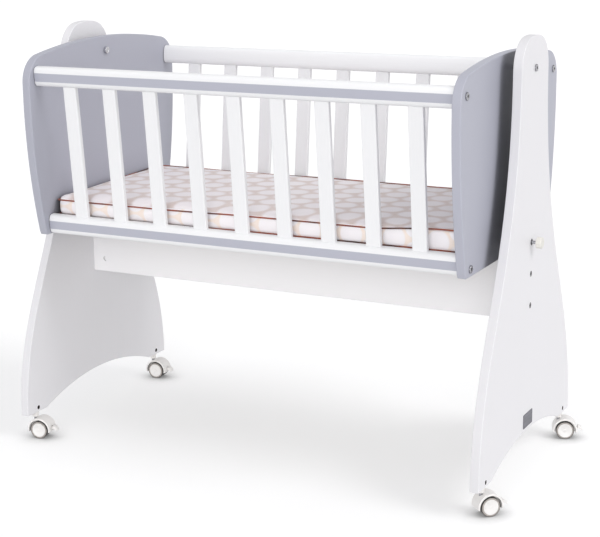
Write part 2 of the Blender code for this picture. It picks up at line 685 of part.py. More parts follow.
def make_mattress(parent):
    """A flat pad with a low crown on top and sides drawn in between its two seams."""
    length = INSIDE_LENGTH - 2 * MATTRESS_END_GAP
    width = 2 * (BOTTOM_RAIL_Y - RAIL_THICKNESS / 2 - MATTRESS_SIDE_GAP)
    bm = bmesh.new()
    bmesh.ops.create_cube(bm, size=1)
    for axis, cuts in ((0, MATTRESS_CUTS_LONG), (1, MATTRESS_CUTS_WIDE), (2, 1)):
        along = [e for e in bm.edges if abs((e.verts[0].co - e.verts[1].co)[axis]) > WELD_DISTANCE]
        bmesh.ops.subdivide_edges(bm, edges=along, cuts=cuts, use_grid_fill=True)
    crease = bm.edges.layers.float.new("crease_edge")
    for edge in bm.edges:
        ends = [v.co for v in edge.verts]
        on_seam = abs(ends[0].z) > HALF_CUBE and abs(ends[1].z) > HALF_CUBE
        on_side = any(all(abs(co[axis]) > HALF_CUBE for co in ends) for axis in (0, 1))
        if on_seam and on_side:
            edge[crease] = MATTRESS_CREASE
    for vert in bm.verts:
        across, over, up = (2 * value for value in vert.co)
        crown = MATTRESS_CROWN * (1 - across**4) * (1 - over**4) if up > 0 else 0
        draw = MATTRESS_SIDE_DRAW * (1 - abs(up))
        pull = MATTRESS_CORNER_PULL_SHARE * MATTRESS_CORNER_RADIUS * (across * over) ** MATTRESS_CORNER_POWER
        vert.co = Vector(
            (
                across * (length / 2 - draw) - math.copysign(pull, across),
                over * (width / 2 - draw) - math.copysign(pull, over),
                up * MATTRESS_THICKNESS / 2 + crown,
            )
        )
    mattress = object_from_bmesh(bm, "mattress")
    at = (0, 0, BASE_TOP + SEAT + MATTRESS_THICKNESS / 2 - PIVOT_HEIGHT)
    finish_part(mattress, "mattress", "cotton", parent, at)
    mattress.data.shade_smooth()
    soften = mattress.modifiers.new("soften", "SUBSURF")
    soften.levels = 1
    soften.render_levels = 1


def make_pivot_bolt(side_name, parent):
    """The bolt that the basket hangs on, with the sleeve nut that holds it on the panel's inner face."""
    side = SIDES[side_name]
    head_x = UPRIGHT_OUTER_X + SEAT
    nut_top = PANEL_INNER_X - SEAT - head_x
    nut_end = nut_top - PIVOT_NUT_HEIGHT
    profile = [
        (0, PIVOT_HEAD_HEIGHT),
        (PIVOT_HEAD_RADIUS - HEAD_EDGE_ROUND, PIVOT_HEAD_HEIGHT),
        (PIVOT_HEAD_RADIUS, PIVOT_HEAD_HEIGHT - HEAD_EDGE_ROUND),
        (PIVOT_HEAD_RADIUS, 0),
        (PIVOT_BOLT_RADIUS, 0),
        (PIVOT_BOLT_RADIUS, nut_top),
        (PIVOT_NUT_RADIUS, nut_top),
        (PIVOT_NUT_RADIUS, nut_end + 2 * HEAD_EDGE_ROUND),
        (PIVOT_NUT_RADIUS - HEAD_EDGE_ROUND, nut_end + HEAD_EDGE_ROUND),
        (PIVOT_BOLT_RADIUS, nut_end),
        (0, nut_end),
    ]
    bolt = turned(profile)
    name = "pivot_bolt_" + side_name
    at = (side * head_x, 0, PIVOT_HEIGHT)
    finish_part(bolt, name, "steel", parent, at, AXIS_TO_X[side])
    cut_socket(bolt, name, PIVOT_HEAD_HEIGHT, parent, at, AXIS_TO_X[side])


def fluted_outline():
    """The knob's grip: a circle with shallow flutes."""
    count = LOCK_KNOB_FLUTES * FLUTE_STEPS
    points = []
    for i in range(count):
        turn = 2 * math.pi * i / count
        radius = LOCK_KNOB_RADIUS - LOCK_KNOB_FLUTE_DEPTH * (1 - math.cos(LOCK_KNOB_FLUTES * turn)) / 2
        points.append((radius * math.cos(turn), radius * math.sin(turn)))
    return points


def make_lock_pin(parent):
    """The pin that is pushed into the end panel to stop the swing, drawn here with its tip in the gap."""
    tip = PANEL_OUTER_X + LOCK_PIN_TIP_GAP - UPRIGHT_OUTER_X
    knob_start = LOCK_KNOB_STANDOFF
    knob_end = knob_start + LOCK_KNOB_LENGTH
    profile = [
        (0, knob_end - HEAD_EDGE_ROUND),
        (LOCK_PIN_RADIUS, knob_end - HEAD_EDGE_ROUND),
        (LOCK_PIN_RADIUS, tip + HEAD_EDGE_ROUND),
        (LOCK_PIN_RADIUS - HEAD_EDGE_ROUND, tip),
        (0, tip),
    ]
    pin = turned(profile, SMALL_ROUND_STEPS)
    at = (UPRIGHT_OUTER_X, 0, LOCK_Z)
    finish_part(pin, "lock_pin", "cream_plastic", parent, at, AXIS_TO_X[1])
    knob = extruded(fluted_outline(), LOCK_KNOB_LENGTH)
    round_edges(knob, LOCK_KNOB_EDGE_ROUND)
    centre = (UPRIGHT_OUTER_X + (knob_start + knob_end) / 2, 0, LOCK_Z)
    cut(pin, finish_cutter(knob, "lock_pin_knob", parent, centre, AXIS_TO_X[1]), "UNION")


def wheel_profile():
    """Two wheels on one axle, seen as a half section from one outer face down to the other."""
    half_width = WHEEL_SET_WIDTH / 2
    inner = WEB_THICKNESS / 2 + WHEEL_SIDE_GAP
    face = half_width - WHEEL_CAP_BULGE
    half = [
        (0, half_width),
        (WHEEL_CAP_RADIUS, face),
        (WHEEL_RADIUS - TREAD_EDGE, face),
        (WHEEL_RADIUS, face - TREAD_EDGE),
        (WHEEL_RADIUS, inner),
        (AXLE_RADIUS, inner),
    ]
    return half + [(radius, -height) for radius, height in reversed(half)]


def make_wheels(name, parent):
    """The wheel pair turns about its axle, which lies along the caster's own Y axis."""
    wheels = turned(wheel_profile(), WHEEL_STEPS)
    for vert in wheels.data.vertices:
        vert.co = Matrix.Rotation(math.pi / WHEEL_STEPS, 3, "Z") @ vert.co
    finish_part(wheels, name + "_wheels", "grey_wheel", parent, (CASTER_TRAIL, 0, AXLE_HEIGHT), OUTLINE_TO_XZ)


def half_disc(radius):
    """The hood's side view: a half disc that ends level with the axle."""
    return arc((0, 0), radius, 0, math.pi, HOOD_STEPS)


def lever_pivot():
    """The brake lever's pivot, in the caster's own X and Z."""
    x = CASTER_TRAIL + LEVER_PIVOT_RADIUS * math.cos(LEVER_PIVOT_ANGLE)
    z = AXLE_HEIGHT + LEVER_PIVOT_RADIUS * math.sin(LEVER_PIVOT_ANGLE)
    return x, z


def make_hood(name, parent):
    """A twin-wheel hood: a half-round cover on a middle web that holds the axle, stem and brake lever."""
    label = name + "_hood"
    axle_at = (CASTER_TRAIL, 0, AXLE_HEIGHT)
    hood = extruded(half_disc(HOOD_RADIUS), WHEEL_SET_WIDTH)
    finish_part(hood, label, "white_plastic", parent, (0, 0, 0))
    turn_outline = Matrix.Translation(axle_at) @ Matrix.Rotation(math.pi / 2, 4, "X")
    hood.data.transform(turn_outline)
    boss = cylinder(BOSS_RADIUS, HOOD_RADIUS)
    boss_at = (0, 0, AXLE_HEIGHT + HOOD_RADIUS / 2)
    cut(hood, finish_cutter(boss, label + "_boss", parent, boss_at), "UNION")
    room = (WHEEL_SET_WIDTH - WEB_THICKNESS) / 2 + OVERRUN
    for side in (-1, 1):
        cavity = cylinder(HOOD_RADIUS - HOOD_WALL, room, 2 * HOOD_STEPS)
        at = (CASTER_TRAIL, side * (WEB_THICKNESS + room) / 2, AXLE_HEIGHT)
        cut(hood, finish_cutter(cavity, label + "_cavity", parent, at, OUTLINE_TO_XZ))
    web_start = -BOSS_RADIUS
    web_end = CASTER_TRAIL + AXLE_RADIUS + BOSS_RADIUS / 2
    lower = block((web_end - web_start, WEB_THICKNESS, 2 * AXLE_BOSS_DROP))
    lower_at = ((web_start + web_end) / 2, 0, AXLE_HEIGHT)
    cut(hood, finish_cutter(lower, label + "_axle_boss", parent, lower_at), "UNION")
    through = WEB_THICKNESS + 2 * OVERRUN
    bore(hood, label + "_axle_bore", AXLE_RADIUS + SEAT, through, axle_at, parent, OUTLINE_TO_XZ)
    depth = HOOD_RADIUS + STEM_DEPTH_BELOW_AXLE
    stem_at = (0, 0, AXLE_HEIGHT + HOOD_RADIUS + (OVERRUN - depth) / 2)
    bore(hood, label + "_stem_bore", STEM_RADIUS + SEAT, depth + OVERRUN, stem_at, parent)
    pivot_x, pivot_z = lever_pivot()
    slot_start = pivot_x - LEVER_ROOT_RADIUS - SEAT
    slot_end = CASTER_TRAIL + HOOD_RADIUS + OVERRUN
    slot_bottom = AXLE_HEIGHT - AXLE_BOSS_DROP - OVERRUN
    slot_top = pivot_z + LEVER_ARM_THICKNESS / 2 + LEVER_SLOT_ROOM
    slot = block((slot_end - slot_start, LEVER_ARM_WIDTH + 2 * SEAT, slot_top - slot_bottom))
    slot_at = ((slot_start + slot_end) / 2, 0, (slot_bottom + slot_top) / 2)
    cut(hood, finish_cutter(slot, label + "_lever_slot", parent, slot_at))
    pin_at = (pivot_x, 0, pivot_z)
    radius = LEVER_PIN_RADIUS + SEAT
    bore(hood, label + "_pin_bore", radius, through, pin_at, parent, OUTLINE_TO_XZ, SMALL_ROUND_STEPS)


def make_brake(name, parent):
    """A foot lever on a pin across the web, drawn raised, with its origin on the pin."""
    pivot_x, pivot_z = lever_pivot()
    label = name + "_brake"
    root = cylinder(LEVER_ROOT_RADIUS, LEVER_ARM_WIDTH, SMALL_ROUND_STEPS)
    finish_part(root, label, "white_plastic", parent, (pivot_x, 0, pivot_z))
    root.data.transform(Matrix.Rotation(math.pi / 2, 4, "X"))
    pin = cylinder(LEVER_PIN_RADIUS, WEB_THICKNESS, SMALL_ROUND_STEPS)
    cut(root, finish_cutter(pin, label + "_pin", parent, (pivot_x, 0, pivot_z), OUTLINE_TO_XZ), "UNION")
    tab_start = CASTER_TRAIL + HOOD_RADIUS + LEVER_TAB_GAP
    arm_end = tab_start + LEVER_TAB_CORNER
    arm = block((arm_end - pivot_x, LEVER_ARM_WIDTH, LEVER_ARM_THICKNESS))
    arm_at = ((arm_end + pivot_x) / 2, 0, pivot_z)
    cut(root, finish_cutter(arm, label + "_arm", parent, arm_at), "UNION")
    outline = rounded_rectangle(LEVER_TAB_LENGTH, LEVER_TAB_WIDTH, LEVER_TAB_CORNER, 4)
    tab = extruded(outline, LEVER_TAB_THICKNESS)
    tab_at = (tab_start + LEVER_TAB_LENGTH / 2, 0, pivot_z)
    cut(root, finish_cutter(tab, label + "_tab", parent, tab_at), "UNION")


def make_stem(name, parent):
    """The stem that the hood swivels on, with its collar and the barrel nut that holds it in the foot."""
    shank_bottom = AXLE_HEIGHT - STEM_DEPTH_BELOW_AXLE + SEAT
    collar_top = COLLAR_BOTTOM + COLLAR_HEIGHT
    waist = COLLAR_HEIGHT / 3
    profile = [
        (0, BARREL_NUT_Z),
        (STEM_RADIUS, BARREL_NUT_Z),
        (STEM_RADIUS, collar_top),
        (COLLAR_RADIUS, collar_top),
        (COLLAR_RADIUS, collar_top - waist),
        (COLLAR_WAIST_RADIUS, collar_top - waist),
        (COLLAR_WAIST_RADIUS, COLLAR_BOTTOM + waist),
        (COLLAR_RADIUS, COLLAR_BOTTOM + waist),
        (COLLAR_RADIUS, COLLAR_BOTTOM),
        (STEM_RADIUS, COLLAR_BOTTOM),
        (STEM_RADIUS, shank_bottom),
        (0, shank_bottom),
    ]
    stem = turned(profile)
    finish_part(stem, name + "_stem", "steel", parent)
    nut = cylinder(BARREL_NUT_RADIUS, BOARD_THICKNESS - 2 * BARREL_NUT_RECESS, SMALL_ROUND_STEPS)
    cut(stem, finish_cutter(nut, name + "_nut", parent, (0, 0, BARREL_NUT_Z), AXIS_TO_X[1]), "UNION")


def make_caster(side_name, end_name, stand):
    """The stem is fixed in the foot; the hood, wheels and brake hang from an empty on the swivel axis."""
    name = "caster_" + side_name + "_" + end_name
    at = (SIDES[side_name] * UPRIGHT_MIDDLE_X, ENDS[end_name] * STEM_Y, 0)
    foot = make_empty(name + "_foot", stand, at)
    make_stem(name, foot)
    swivel = make_empty(name + "_swivel", stand, at, (0, 0, CASTER_TURNS[side_name, end_name]))
    make_hood(name, swivel)
    make_wheels(name, swivel)
    make_brake(name, swivel)


def make_stand():
    stand = make_empty("stand")
    make_stretcher(stand)
    for side_name in SIDES:
        make_upright(side_name, stand)
        make_pivot_bolt(side_name, stand)
        for level_name, level in (("upper", 1), ("lower", -1)):
            make_stretcher_bolt(side_name, level_name, level, stand)
        for end_name in ENDS:
            make_caster(side_name, end_name, stand)
    make_lock_pin(stand)


def make_basket():
    pivot = make_empty("basket_pivot", None, (0, 0, PIVOT_HEIGHT))
    for side_name in SIDES:
        make_end_panel(side_name, pivot)
    for end_name in ENDS:
        make_side(end_name, pivot)
    make_rail_bolts(pivot)
    make_base_board(pivot)
    make_mattress(pivot)


make_stand()
make_basket()
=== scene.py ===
"""The rocking cradle's looks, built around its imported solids.

Metres, in the solids' own frame: +Z up, +X along the cradle, -Y its front, the origin on the floor midway
between the uprights.
"""

import math

import bmesh
import bpy
from mathutils import Matrix, Vector, noise


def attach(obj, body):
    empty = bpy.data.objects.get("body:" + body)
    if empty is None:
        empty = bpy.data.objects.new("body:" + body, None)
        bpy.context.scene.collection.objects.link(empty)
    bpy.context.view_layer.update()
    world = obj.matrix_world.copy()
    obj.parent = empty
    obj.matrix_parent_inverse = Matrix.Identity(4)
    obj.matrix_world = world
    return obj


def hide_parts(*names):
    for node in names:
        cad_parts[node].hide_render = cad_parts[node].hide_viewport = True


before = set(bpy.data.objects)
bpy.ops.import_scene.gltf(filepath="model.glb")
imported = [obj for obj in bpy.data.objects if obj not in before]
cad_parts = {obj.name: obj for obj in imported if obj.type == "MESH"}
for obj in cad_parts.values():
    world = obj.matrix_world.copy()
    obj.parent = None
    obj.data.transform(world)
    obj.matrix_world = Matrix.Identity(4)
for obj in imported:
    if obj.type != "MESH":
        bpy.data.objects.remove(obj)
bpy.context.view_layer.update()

# Sizes that the solids have too
SEAT = 0.0003
BOARD_THICKNESS = 0.018
INSIDE_LENGTH = 0.900
PIVOT_HEIGHT = 0.8045
PIVOT_GAP = 0.026
PANEL_RISE = 0.030
PANEL_DROP = 0.360
PANEL_HALF_WIDTH = 0.2735
PANEL_FOOT_HALF_WIDTH = 0.236
PANEL_CROWN_RADIUS = 1.353
PANEL_SHOULDER_RADIUS = 0.055
PANEL_SIDE_STRAIGHT = 0.020
RAIL_THICKNESS = 0.025
RAIL_HEIGHT = 0.040
RAIL_ROUNDNESS = 3.2
TOP_RAIL_INSET = 0.0275
TOP_RAIL_DROP = 0.0605
BOTTOM_RAIL_INSET = 0.020
BOTTOM_RAIL_RISE = 0.022
SLAT_COUNT = 9
SLAT_WIDTH = 0.030
SLAT_THICKNESS = 0.010
MORTISE_DEPTH = 0.010
BASE_TOP_OVER_RAIL_CENTRE = 0.014
CROWN_RISE = 0.061
CROWN_RADIUS = 0.190
SHOULDER_RADIUS = 0.060
NECK_HALF_WIDTH = 0.078
FOOT_HALF_WIDTH = 0.2725
FOOT_LENGTH = 0.0675
ARCH_RISE = 0.0375
NECK_HANDLE_SHARE = 0.52
FOOT_HANDLE_SHARE = 0.36
STRETCHER_HEIGHT = 0.120
SWING_GAP = 0.008
STRETCHER_BOLT_SPACING = 0.063
STRETCHER_NUT_INSET = 0.030
STRETCHER_NUT_RADIUS = 0.005
STRETCHER_NUT_LENGTH = 0.012
STRETCHER_BOLT_RADIUS = 0.003
STRETCHER_BOLT_END = 0.008
STRETCHER_HEAD_RADIUS = 0.0055
STRETCHER_HEAD_HEIGHT = 0.003
COUNTERBORE_DEPTH = 0.0035
PIVOT_BOLT_RADIUS = 0.004
PIVOT_HEAD_RADIUS = 0.007
PIVOT_HEAD_HEIGHT = 0.0025
PIVOT_NUT_RADIUS = 0.0075
PIVOT_NUT_HEIGHT = 0.006
RAIL_BOLT_RADIUS = 0.003
RAIL_BOLT_REACH = 0.040
RAIL_HEAD_RADIUS = 0.0075
RAIL_HEAD_HEIGHT = 0.0024
RAIL_BOLT_SHIFTS = {"top": 0.003, "bottom": -0.007}
LOCK_RISE = 0.026
LOCK_PIN_RADIUS = 0.0032
LOCK_PIN_TIP_GAP = 0.001
LOCK_KNOB_STANDOFF = 0.0105
LOCK_KNOB_RADIUS = 0.0113
LOCK_KNOB_LENGTH = 0.0115
LOCK_KNOB_FLUTES = 12
LOCK_KNOB_FLUTE_DEPTH = 0.0007
LOCK_MOUTH_RADIUS = 0.0065
LOCK_MOUTH_DEPTH = 0.003
WHEEL_RADIUS = 0.019
WHEEL_STEPS = 24
WHEEL_SET_WIDTH = 0.0334
WHEEL_SIDE_GAP = 0.0006
AXLE_RADIUS = 0.003
CASTER_TRAIL = 0.0137
WEB_THICKNESS = 0.011
HOOD_RADIUS = 0.0255
HOOD_WALL = 0.0033
BOSS_RADIUS = 0.0075
AXLE_BOSS_DROP = 0.007
STEM_RADIUS = 0.0035
STEM_DEPTH_BELOW_AXLE = 0.003
COLLAR_HEIGHT = 0.0105
COLLAR_RADIUS = 0.0075
STEM_INSET = 0.0375
BARREL_NUT_RADIUS = 0.004
BARREL_NUT_RISE = 0.0095
LEVER_PIVOT_RADIUS = 0.019
LEVER_PIVOT_ANGLE = math.radians(10)
LEVER_ARM_WIDTH = 0.006
LEVER_ARM_THICKNESS = 0.004
LEVER_ROOT_RADIUS = 0.0022
LEVER_PIN_RADIUS = 0.001
LEVER_TAB_GAP = 0.0012
LEVER_TAB_LENGTH = 0.0115
LEVER_TAB_WIDTH = 0.014
LEVER_TAB_THICKNESS = 0.003
LEVER_SLOT_ROOM = 0.003
CASTER_TURNS = {
    ("left", "front"): math.radians(10),
    ("left", "back"): math.radians(4),
    ("right", "front"): math.radians(44),
    ("right", "back"): math.radians(22),
}

# Places that follow
SIDES = {"left": -1, "right": 1}
ENDS = {"front": -1, "back": 1}
LEVELS = {"top": 1, "bottom": -1}
PANEL_INNER_X = INSIDE_LENGTH / 2
PANEL_OUTER_X = PANEL_INNER_X + BOARD_THICKNESS
UPRIGHT_INNER_X = PANEL_OUTER_X + PIVOT_GAP
UPRIGHT_OUTER_X = UPRIGHT_INNER_X + BOARD_THICKNESS
UPRIGHT_MIDDLE_X = UPRIGHT_INNER_X + BOARD_THICKNESS / 2
PANEL_TOP = PIVOT_HEIGHT + PANEL_RISE
PANEL_BOTTOM = PIVOT_HEIGHT - PANEL_DROP
TOP_RAIL_Y = PANEL_HALF_WIDTH - TOP_RAIL_INSET
TOP_RAIL_Z = PANEL_TOP - TOP_RAIL_DROP
BOTTOM_RAIL_Y = PANEL_FOOT_HALF_WIDTH - BOTTOM_RAIL_INSET
BOTTOM_RAIL_Z = PANEL_BOTTOM + BOTTOM_RAIL_RISE
SIDE_SLOPE = math.atan2(TOP_RAIL_Y - BOTTOM_RAIL_Y, TOP_RAIL_Z - BOTTOM_RAIL_Z)
RAIL_SPACING = math.hypot(TOP_RAIL_Y - BOTTOM_RAIL_Y, TOP_RAIL_Z - BOTTOM_RAIL_Z)
SLAT_PITCH = (INSIDE_LENGTH + SLAT_WIDTH) / (SLAT_COUNT + 1)
BASE_TOP = BOTTOM_RAIL_Z + BASE_TOP_OVER_RAIL_CENTRE
AXLE_HEIGHT = WHEEL_RADIUS * math.cos(math.pi / WHEEL_STEPS)
COLLAR_BOTTOM = AXLE_HEIGHT + HOOD_RADIUS + SEAT
FOOT_BOTTOM = COLLAR_BOTTOM + COLLAR_HEIGHT + SEAT
UPRIGHT_TOP = PIVOT_HEIGHT + CROWN_RISE
STEM_Y = FOOT_HALF_WIDTH - STEM_INSET
BARREL_NUT_Z = FOOT_BOTTOM + BARREL_NUT_RISE
STRETCHER_TOP = PANEL_BOTTOM - SWING_GAP
STRETCHER_MIDDLE_Z = STRETCHER_TOP - STRETCHER_HEIGHT / 2
LOCK_Z = PANEL_BOTTOM + LOCK_RISE
STRETCHER_NUT_X = UPRIGHT_INNER_X - STRETCHER_NUT_INSET
STRETCHER_BOLT_HEIGHTS = {
    "upper": STRETCHER_MIDDLE_Z + STRETCHER_BOLT_SPACING / 2,
    "lower": STRETCHER_MIDDLE_Z - STRETCHER_BOLT_SPACING / 2,
}

# Detail that only the looks have
OVERRUN = 0.002
UPRIGHT_EDGE_ROUND = 0.0014
PANEL_EDGE_ROUND = 0.0022
SLAT_EDGE_RADIUS = 0.0020
RAIL_END_ROUND = 0.0022
STRIPE_WIDTH = 0.0172
STRIPE_DROP = 0.0006
STRIPE_GROOVE = 0.0004
HEAD_ROUND = 0.0009
SOCKET_RADIUS = 0.0029
SOCKET_DEPTH = 0.0013
WELD = 0.00001

# How finely curves are divided
FINE_ARC = 20
FINE_SIDE = 40
FINE_ROUND = 40
CHAMFER_STEPS = 2
EDGE_STEPS = 3
TIGHT_STEPS = 4
CORNER_STEPS = 5
WIDE_STEPS = 6
SOCKET_SIDES = 6

# Angles, shading, a rectangle's corners in turn, and the materials by name, which make_materials fills in
QUARTER = math.pi / 2
SMOOTH_ANGLE = math.radians(32)
FLAT_FACE_WEIGHT = 100
CORNERS = ((1, 1), (-1, 1), (-1, -1), (1, -1))
MATERIALS = {}


# Small building blocks


def add_object(name, data):
    obj = bpy.data.objects.new(name, data)
    bpy.context.scene.collection.objects.link(obj)
    return obj


def new_object(name, bm, paints=(), place=None):
    """A mesh object with smooth faces and sharp creases, from a bmesh that is moved by place and used up."""
    if place is not None:
        bm.transform(place)
    bmesh.ops.recalc_face_normals(bm, faces=bm.faces)
    mesh = bpy.data.meshes.new(name)
    bm.to_mesh(mesh)
    bm.free()
    for paint in paints:
        mesh.materials.append(MATERIALS[paint])
    obj = add_object(name, mesh)
    shade(obj)
    return obj


def shade(obj, angle=SMOOTH_ANGLE):
    obj.data.shade_smooth()
    obj.data.set_sharp_from_angle(angle=angle)


def evaluated_mesh(obj):
    """An object's shape with its modifiers, or a curve's with its thickness, as a new mesh."""
    bpy.context.view_layer.update()
    depsgraph = bpy.context.evaluated_depsgraph_get()
    return bpy.data.meshes.new_from_object(obj.evaluated_get(depsgraph), depsgraph=depsgraph)


def bake(obj):
    """Apply an object's modifiers to its mesh."""
    mesh = evaluated_mesh(obj)
    old = obj.data
    obj.modifiers.clear()
    obj.data = mesh
    mesh.name = obj.name
    bpy.data.meshes.remove(old)


def discard(obj):
    mesh = obj.data
    bpy.data.objects.remove(obj)
    bpy.data.meshes.remove(mesh)


def modify(obj, name, kind, **settings):
    modifier = obj.modifiers.new(name, kind)
    for key, value in settings.items():
        setattr(modifier, key, value)
    return modifier


def carve(obj, cutters, operation="DIFFERENCE"):
    """Cut shapes out of a piece, or join them to it, for good."""
    for cutter in cutters:
        boolean = modify(obj, cutter.name, "BOOLEAN", operation=operation, solver="EXACT", object=cutter)
        if cutter.data.materials:
            boolean.material_mode = "TRANSFER"
    bake(obj)
    for cutter in cutters:
        discard(cutter)
    shade(obj)


def even_shading(obj):
    """Keep flat faces flat beside their rounded edges."""
    modify(obj, "even shading", "WEIGHTED_NORMAL", keep_sharp=True, weight=FLAT_FACE_WEIGHT)


def round_edges(obj, width, segments=EDGE_STEPS):
    shape = {"width": width, "segments": segments}
    modify(obj, "edges", "BEVEL", limit_method="ANGLE", angle_limit=SMOOTH_ANGLE, **shape)
    bake(obj)
    shade(obj)


def join_rings(bm, rings):
    """The side faces between rings that have equally many points."""
    count = len(rings[0])
    for lower, upper in zip(rings, rings[1:]):
        for i in range(count):
            j = (i + 1) % count
            bm.faces.new((lower[i], lower[j], upper[j], upper[i]))


def prism(name, outline, depth, place=None, paints=(), end_round=0.0):
    """An outline in X and Y, thickened by half of depth each way along Z, then moved by a matrix.

    With end_round, both ends draw in towards the middle like a sanded bar's.
    """
    half_size = [max(abs(point[axis]) for point in outline) for axis in range(2)]
    sections = [(0, depth / 2)]
    if end_round:
        turns = [QUARTER * i / TIGHT_STEPS for i in range(TIGHT_STEPS + 1)]
        sections = [(end_round * (1 - math.cos(a)), depth / 2 - end_round * (1 - math.sin(a))) for a in turns]
    sections = [(inset, -height) for inset, height in reversed(sections)] + sections
    bm = bmesh.new()
    rings = []
    for inset, height in sections:
        shrink = [1 - inset / size for size in half_size]
        rings.append([bm.verts.new((x * shrink[0], y * shrink[1], height)) for x, y in outline])
    bm.faces.new(list(reversed(rings[0])))
    bm.faces.new(rings[-1])
    join_rings(bm, rings)
    return new_object(name, bm, paints, place)


def lathe(name, profile, place=None, paints=(), steps=FINE_ROUND):
    """A turned piece: the profile lists (radius, height) from one end of its axis to the other."""
    bm = bmesh.new()
    rings = []
    turns = [2 * math.pi * (i + 1 / 2) / steps for i in range(steps)]
    for radius, height in profile:
        if radius < WELD:
            rings.append([bm.verts.new((0, 0, height))])
        else:
            rings.append([bm.verts.new((radius * math.cos(a), radius * math.sin(a), height)) for a in turns])
    for upper, lower in zip(rings, rings[1:]):
        for i in range(steps):
            j = (i + 1) % steps
            corners = [ring[k % len(ring)] for ring, k in ((upper, i), (upper, j), (lower, j), (lower, i))]
            face = [v for k, v in enumerate(corners) if v not in corners[:k]]
            if len(face) > 2:
                bm.faces.new(face)
    return new_object(name, bm, paints, place)


def rod(name, radius, length, place, paints=(), steps=FINE_ROUND):
    half = length / 2
    return lathe(name, [(0, half), (radius, half), (radius, -half), (0, -half)], place, paints, steps)


def block(name, size, place):
    bm = bmesh.new()
    bmesh.ops.create_cube(bm, size=1)
    bmesh.ops.scale(bm, vec=size, verts=bm.verts)
    return new_object(name, bm, (), place)


def tube(name, points, radius, paints):
    """A round cord along points that close a loop, as a mesh."""
    curve = bpy.data.curves.new(name, "CURVE")
    curve.dimensions = "3D"
    curve.bevel_depth = radius
    curve.bevel_resolution = EDGE_STEPS
    spline = curve.splines.new("POLY")
    spline.points.add(len(points) - 1)
    for point, place in zip(spline.points, points):
        point.co = (*place, 1)
    spline.use_cyclic_u = True
    drawn = add_object(name, curve)
    mesh = evaluated_mesh(drawn)
    bpy.data.objects.remove(drawn)
    bm = bmesh.new()
    bm.from_mesh(mesh)
    bpy.data.meshes.remove(mesh)
    bmesh.ops.remove_doubles(bm, verts=bm.verts, dist=WELD)
    return new_object(name, bm, paints)


def arc(centre, radius, start, end, steps=FINE_ARC):
    turns = [start + (end - start) * i / steps for i in range(steps + 1)]
    return [(centre[0] + radius * math.cos(a), centre[1] + radius * math.sin(a)) for a in turns]


def bezier(start, start_handle, end_handle, end, steps=FINE_SIDE):
    points = []
    for i in range(steps + 1):
        t = i / steps
        weights = ((1 - t) ** 3, 3 * t * (1 - t) ** 2, 3 * t**2 * (1 - t), t**3)
        shape = (start, start_handle, end_handle, end)
        points.append(tuple(sum(w * p[axis] for w, p in zip(weights, shape)) for axis in range(2)))
    return points


def mirrored_outline(half):
    return half + [(-x, y) for x, y in reversed(half) if x > WELD]


def crowned_top(half_width, top, crown_radius, shoulder_radius):
    reach = half_width - shoulder_radius
    crown_centre = top - crown_radius
    rise = math.sqrt((crown_radius - shoulder_radius) ** 2 - reach**2)
    lean = math.atan2(rise, reach)
    crown = arc((0, crown_centre), crown_radius, QUARTER, lean)
    shoulder = arc((reach, crown_centre + rise), shoulder_radius, lean, 0)
    return crown + shoulder[1:]


def rounded_rectangle(width, height, radius, steps=CORNER_STEPS):
    points = []
    for number, (side_x, side_y) in enumerate(CORNERS):
        centre = (side_x * (width / 2 - radius), side_y * (height / 2 - radius))
        start = number * QUARTER
        points += arc(centre, radius, start, start + QUARTER, steps)
    return points


def chamfered_profile(radius, half, chamfer):
    """A short turned bar, half as long each way, with both rims cut off."""
    end = [(0, half), (radius - chamfer, half), (radius, half - chamfer)]
    return end + [(rim, -height) for rim, height in reversed(end)]


def at(x, y, z):
    return Matrix.Translation((x, y, z))


def turned(angle, axis):
    return Matrix.Rotation(angle, 4, axis)


# Matrices that lay an outline in the YZ plane, and point a turned piece's axis along X or Y
TO_YZ = Matrix(((0, 0, 1, 0), (1, 0, 0, 0), (0, 1, 0, 0), (0, 0, 0, 1)))
TO_X = {side: turned(side * QUARTER, "Y") for side in (-1, 1)}
TO_Y = {side: turned(-side * QUARTER, "X") for side in (-1, 1)}


# Materials

MIX_SOCKETS = {"FLOAT": (0, 2, 3), "VECTOR": (0, 4, 5), "RGBA": (0, 6, 7)}
MIX_OUTPUTS = {"FLOAT": 0, "VECTOR": 1, "RGBA": 2}
NOISE_SHARES = (0.3, 0.7)
OPENNESS_SAMPLES = 8


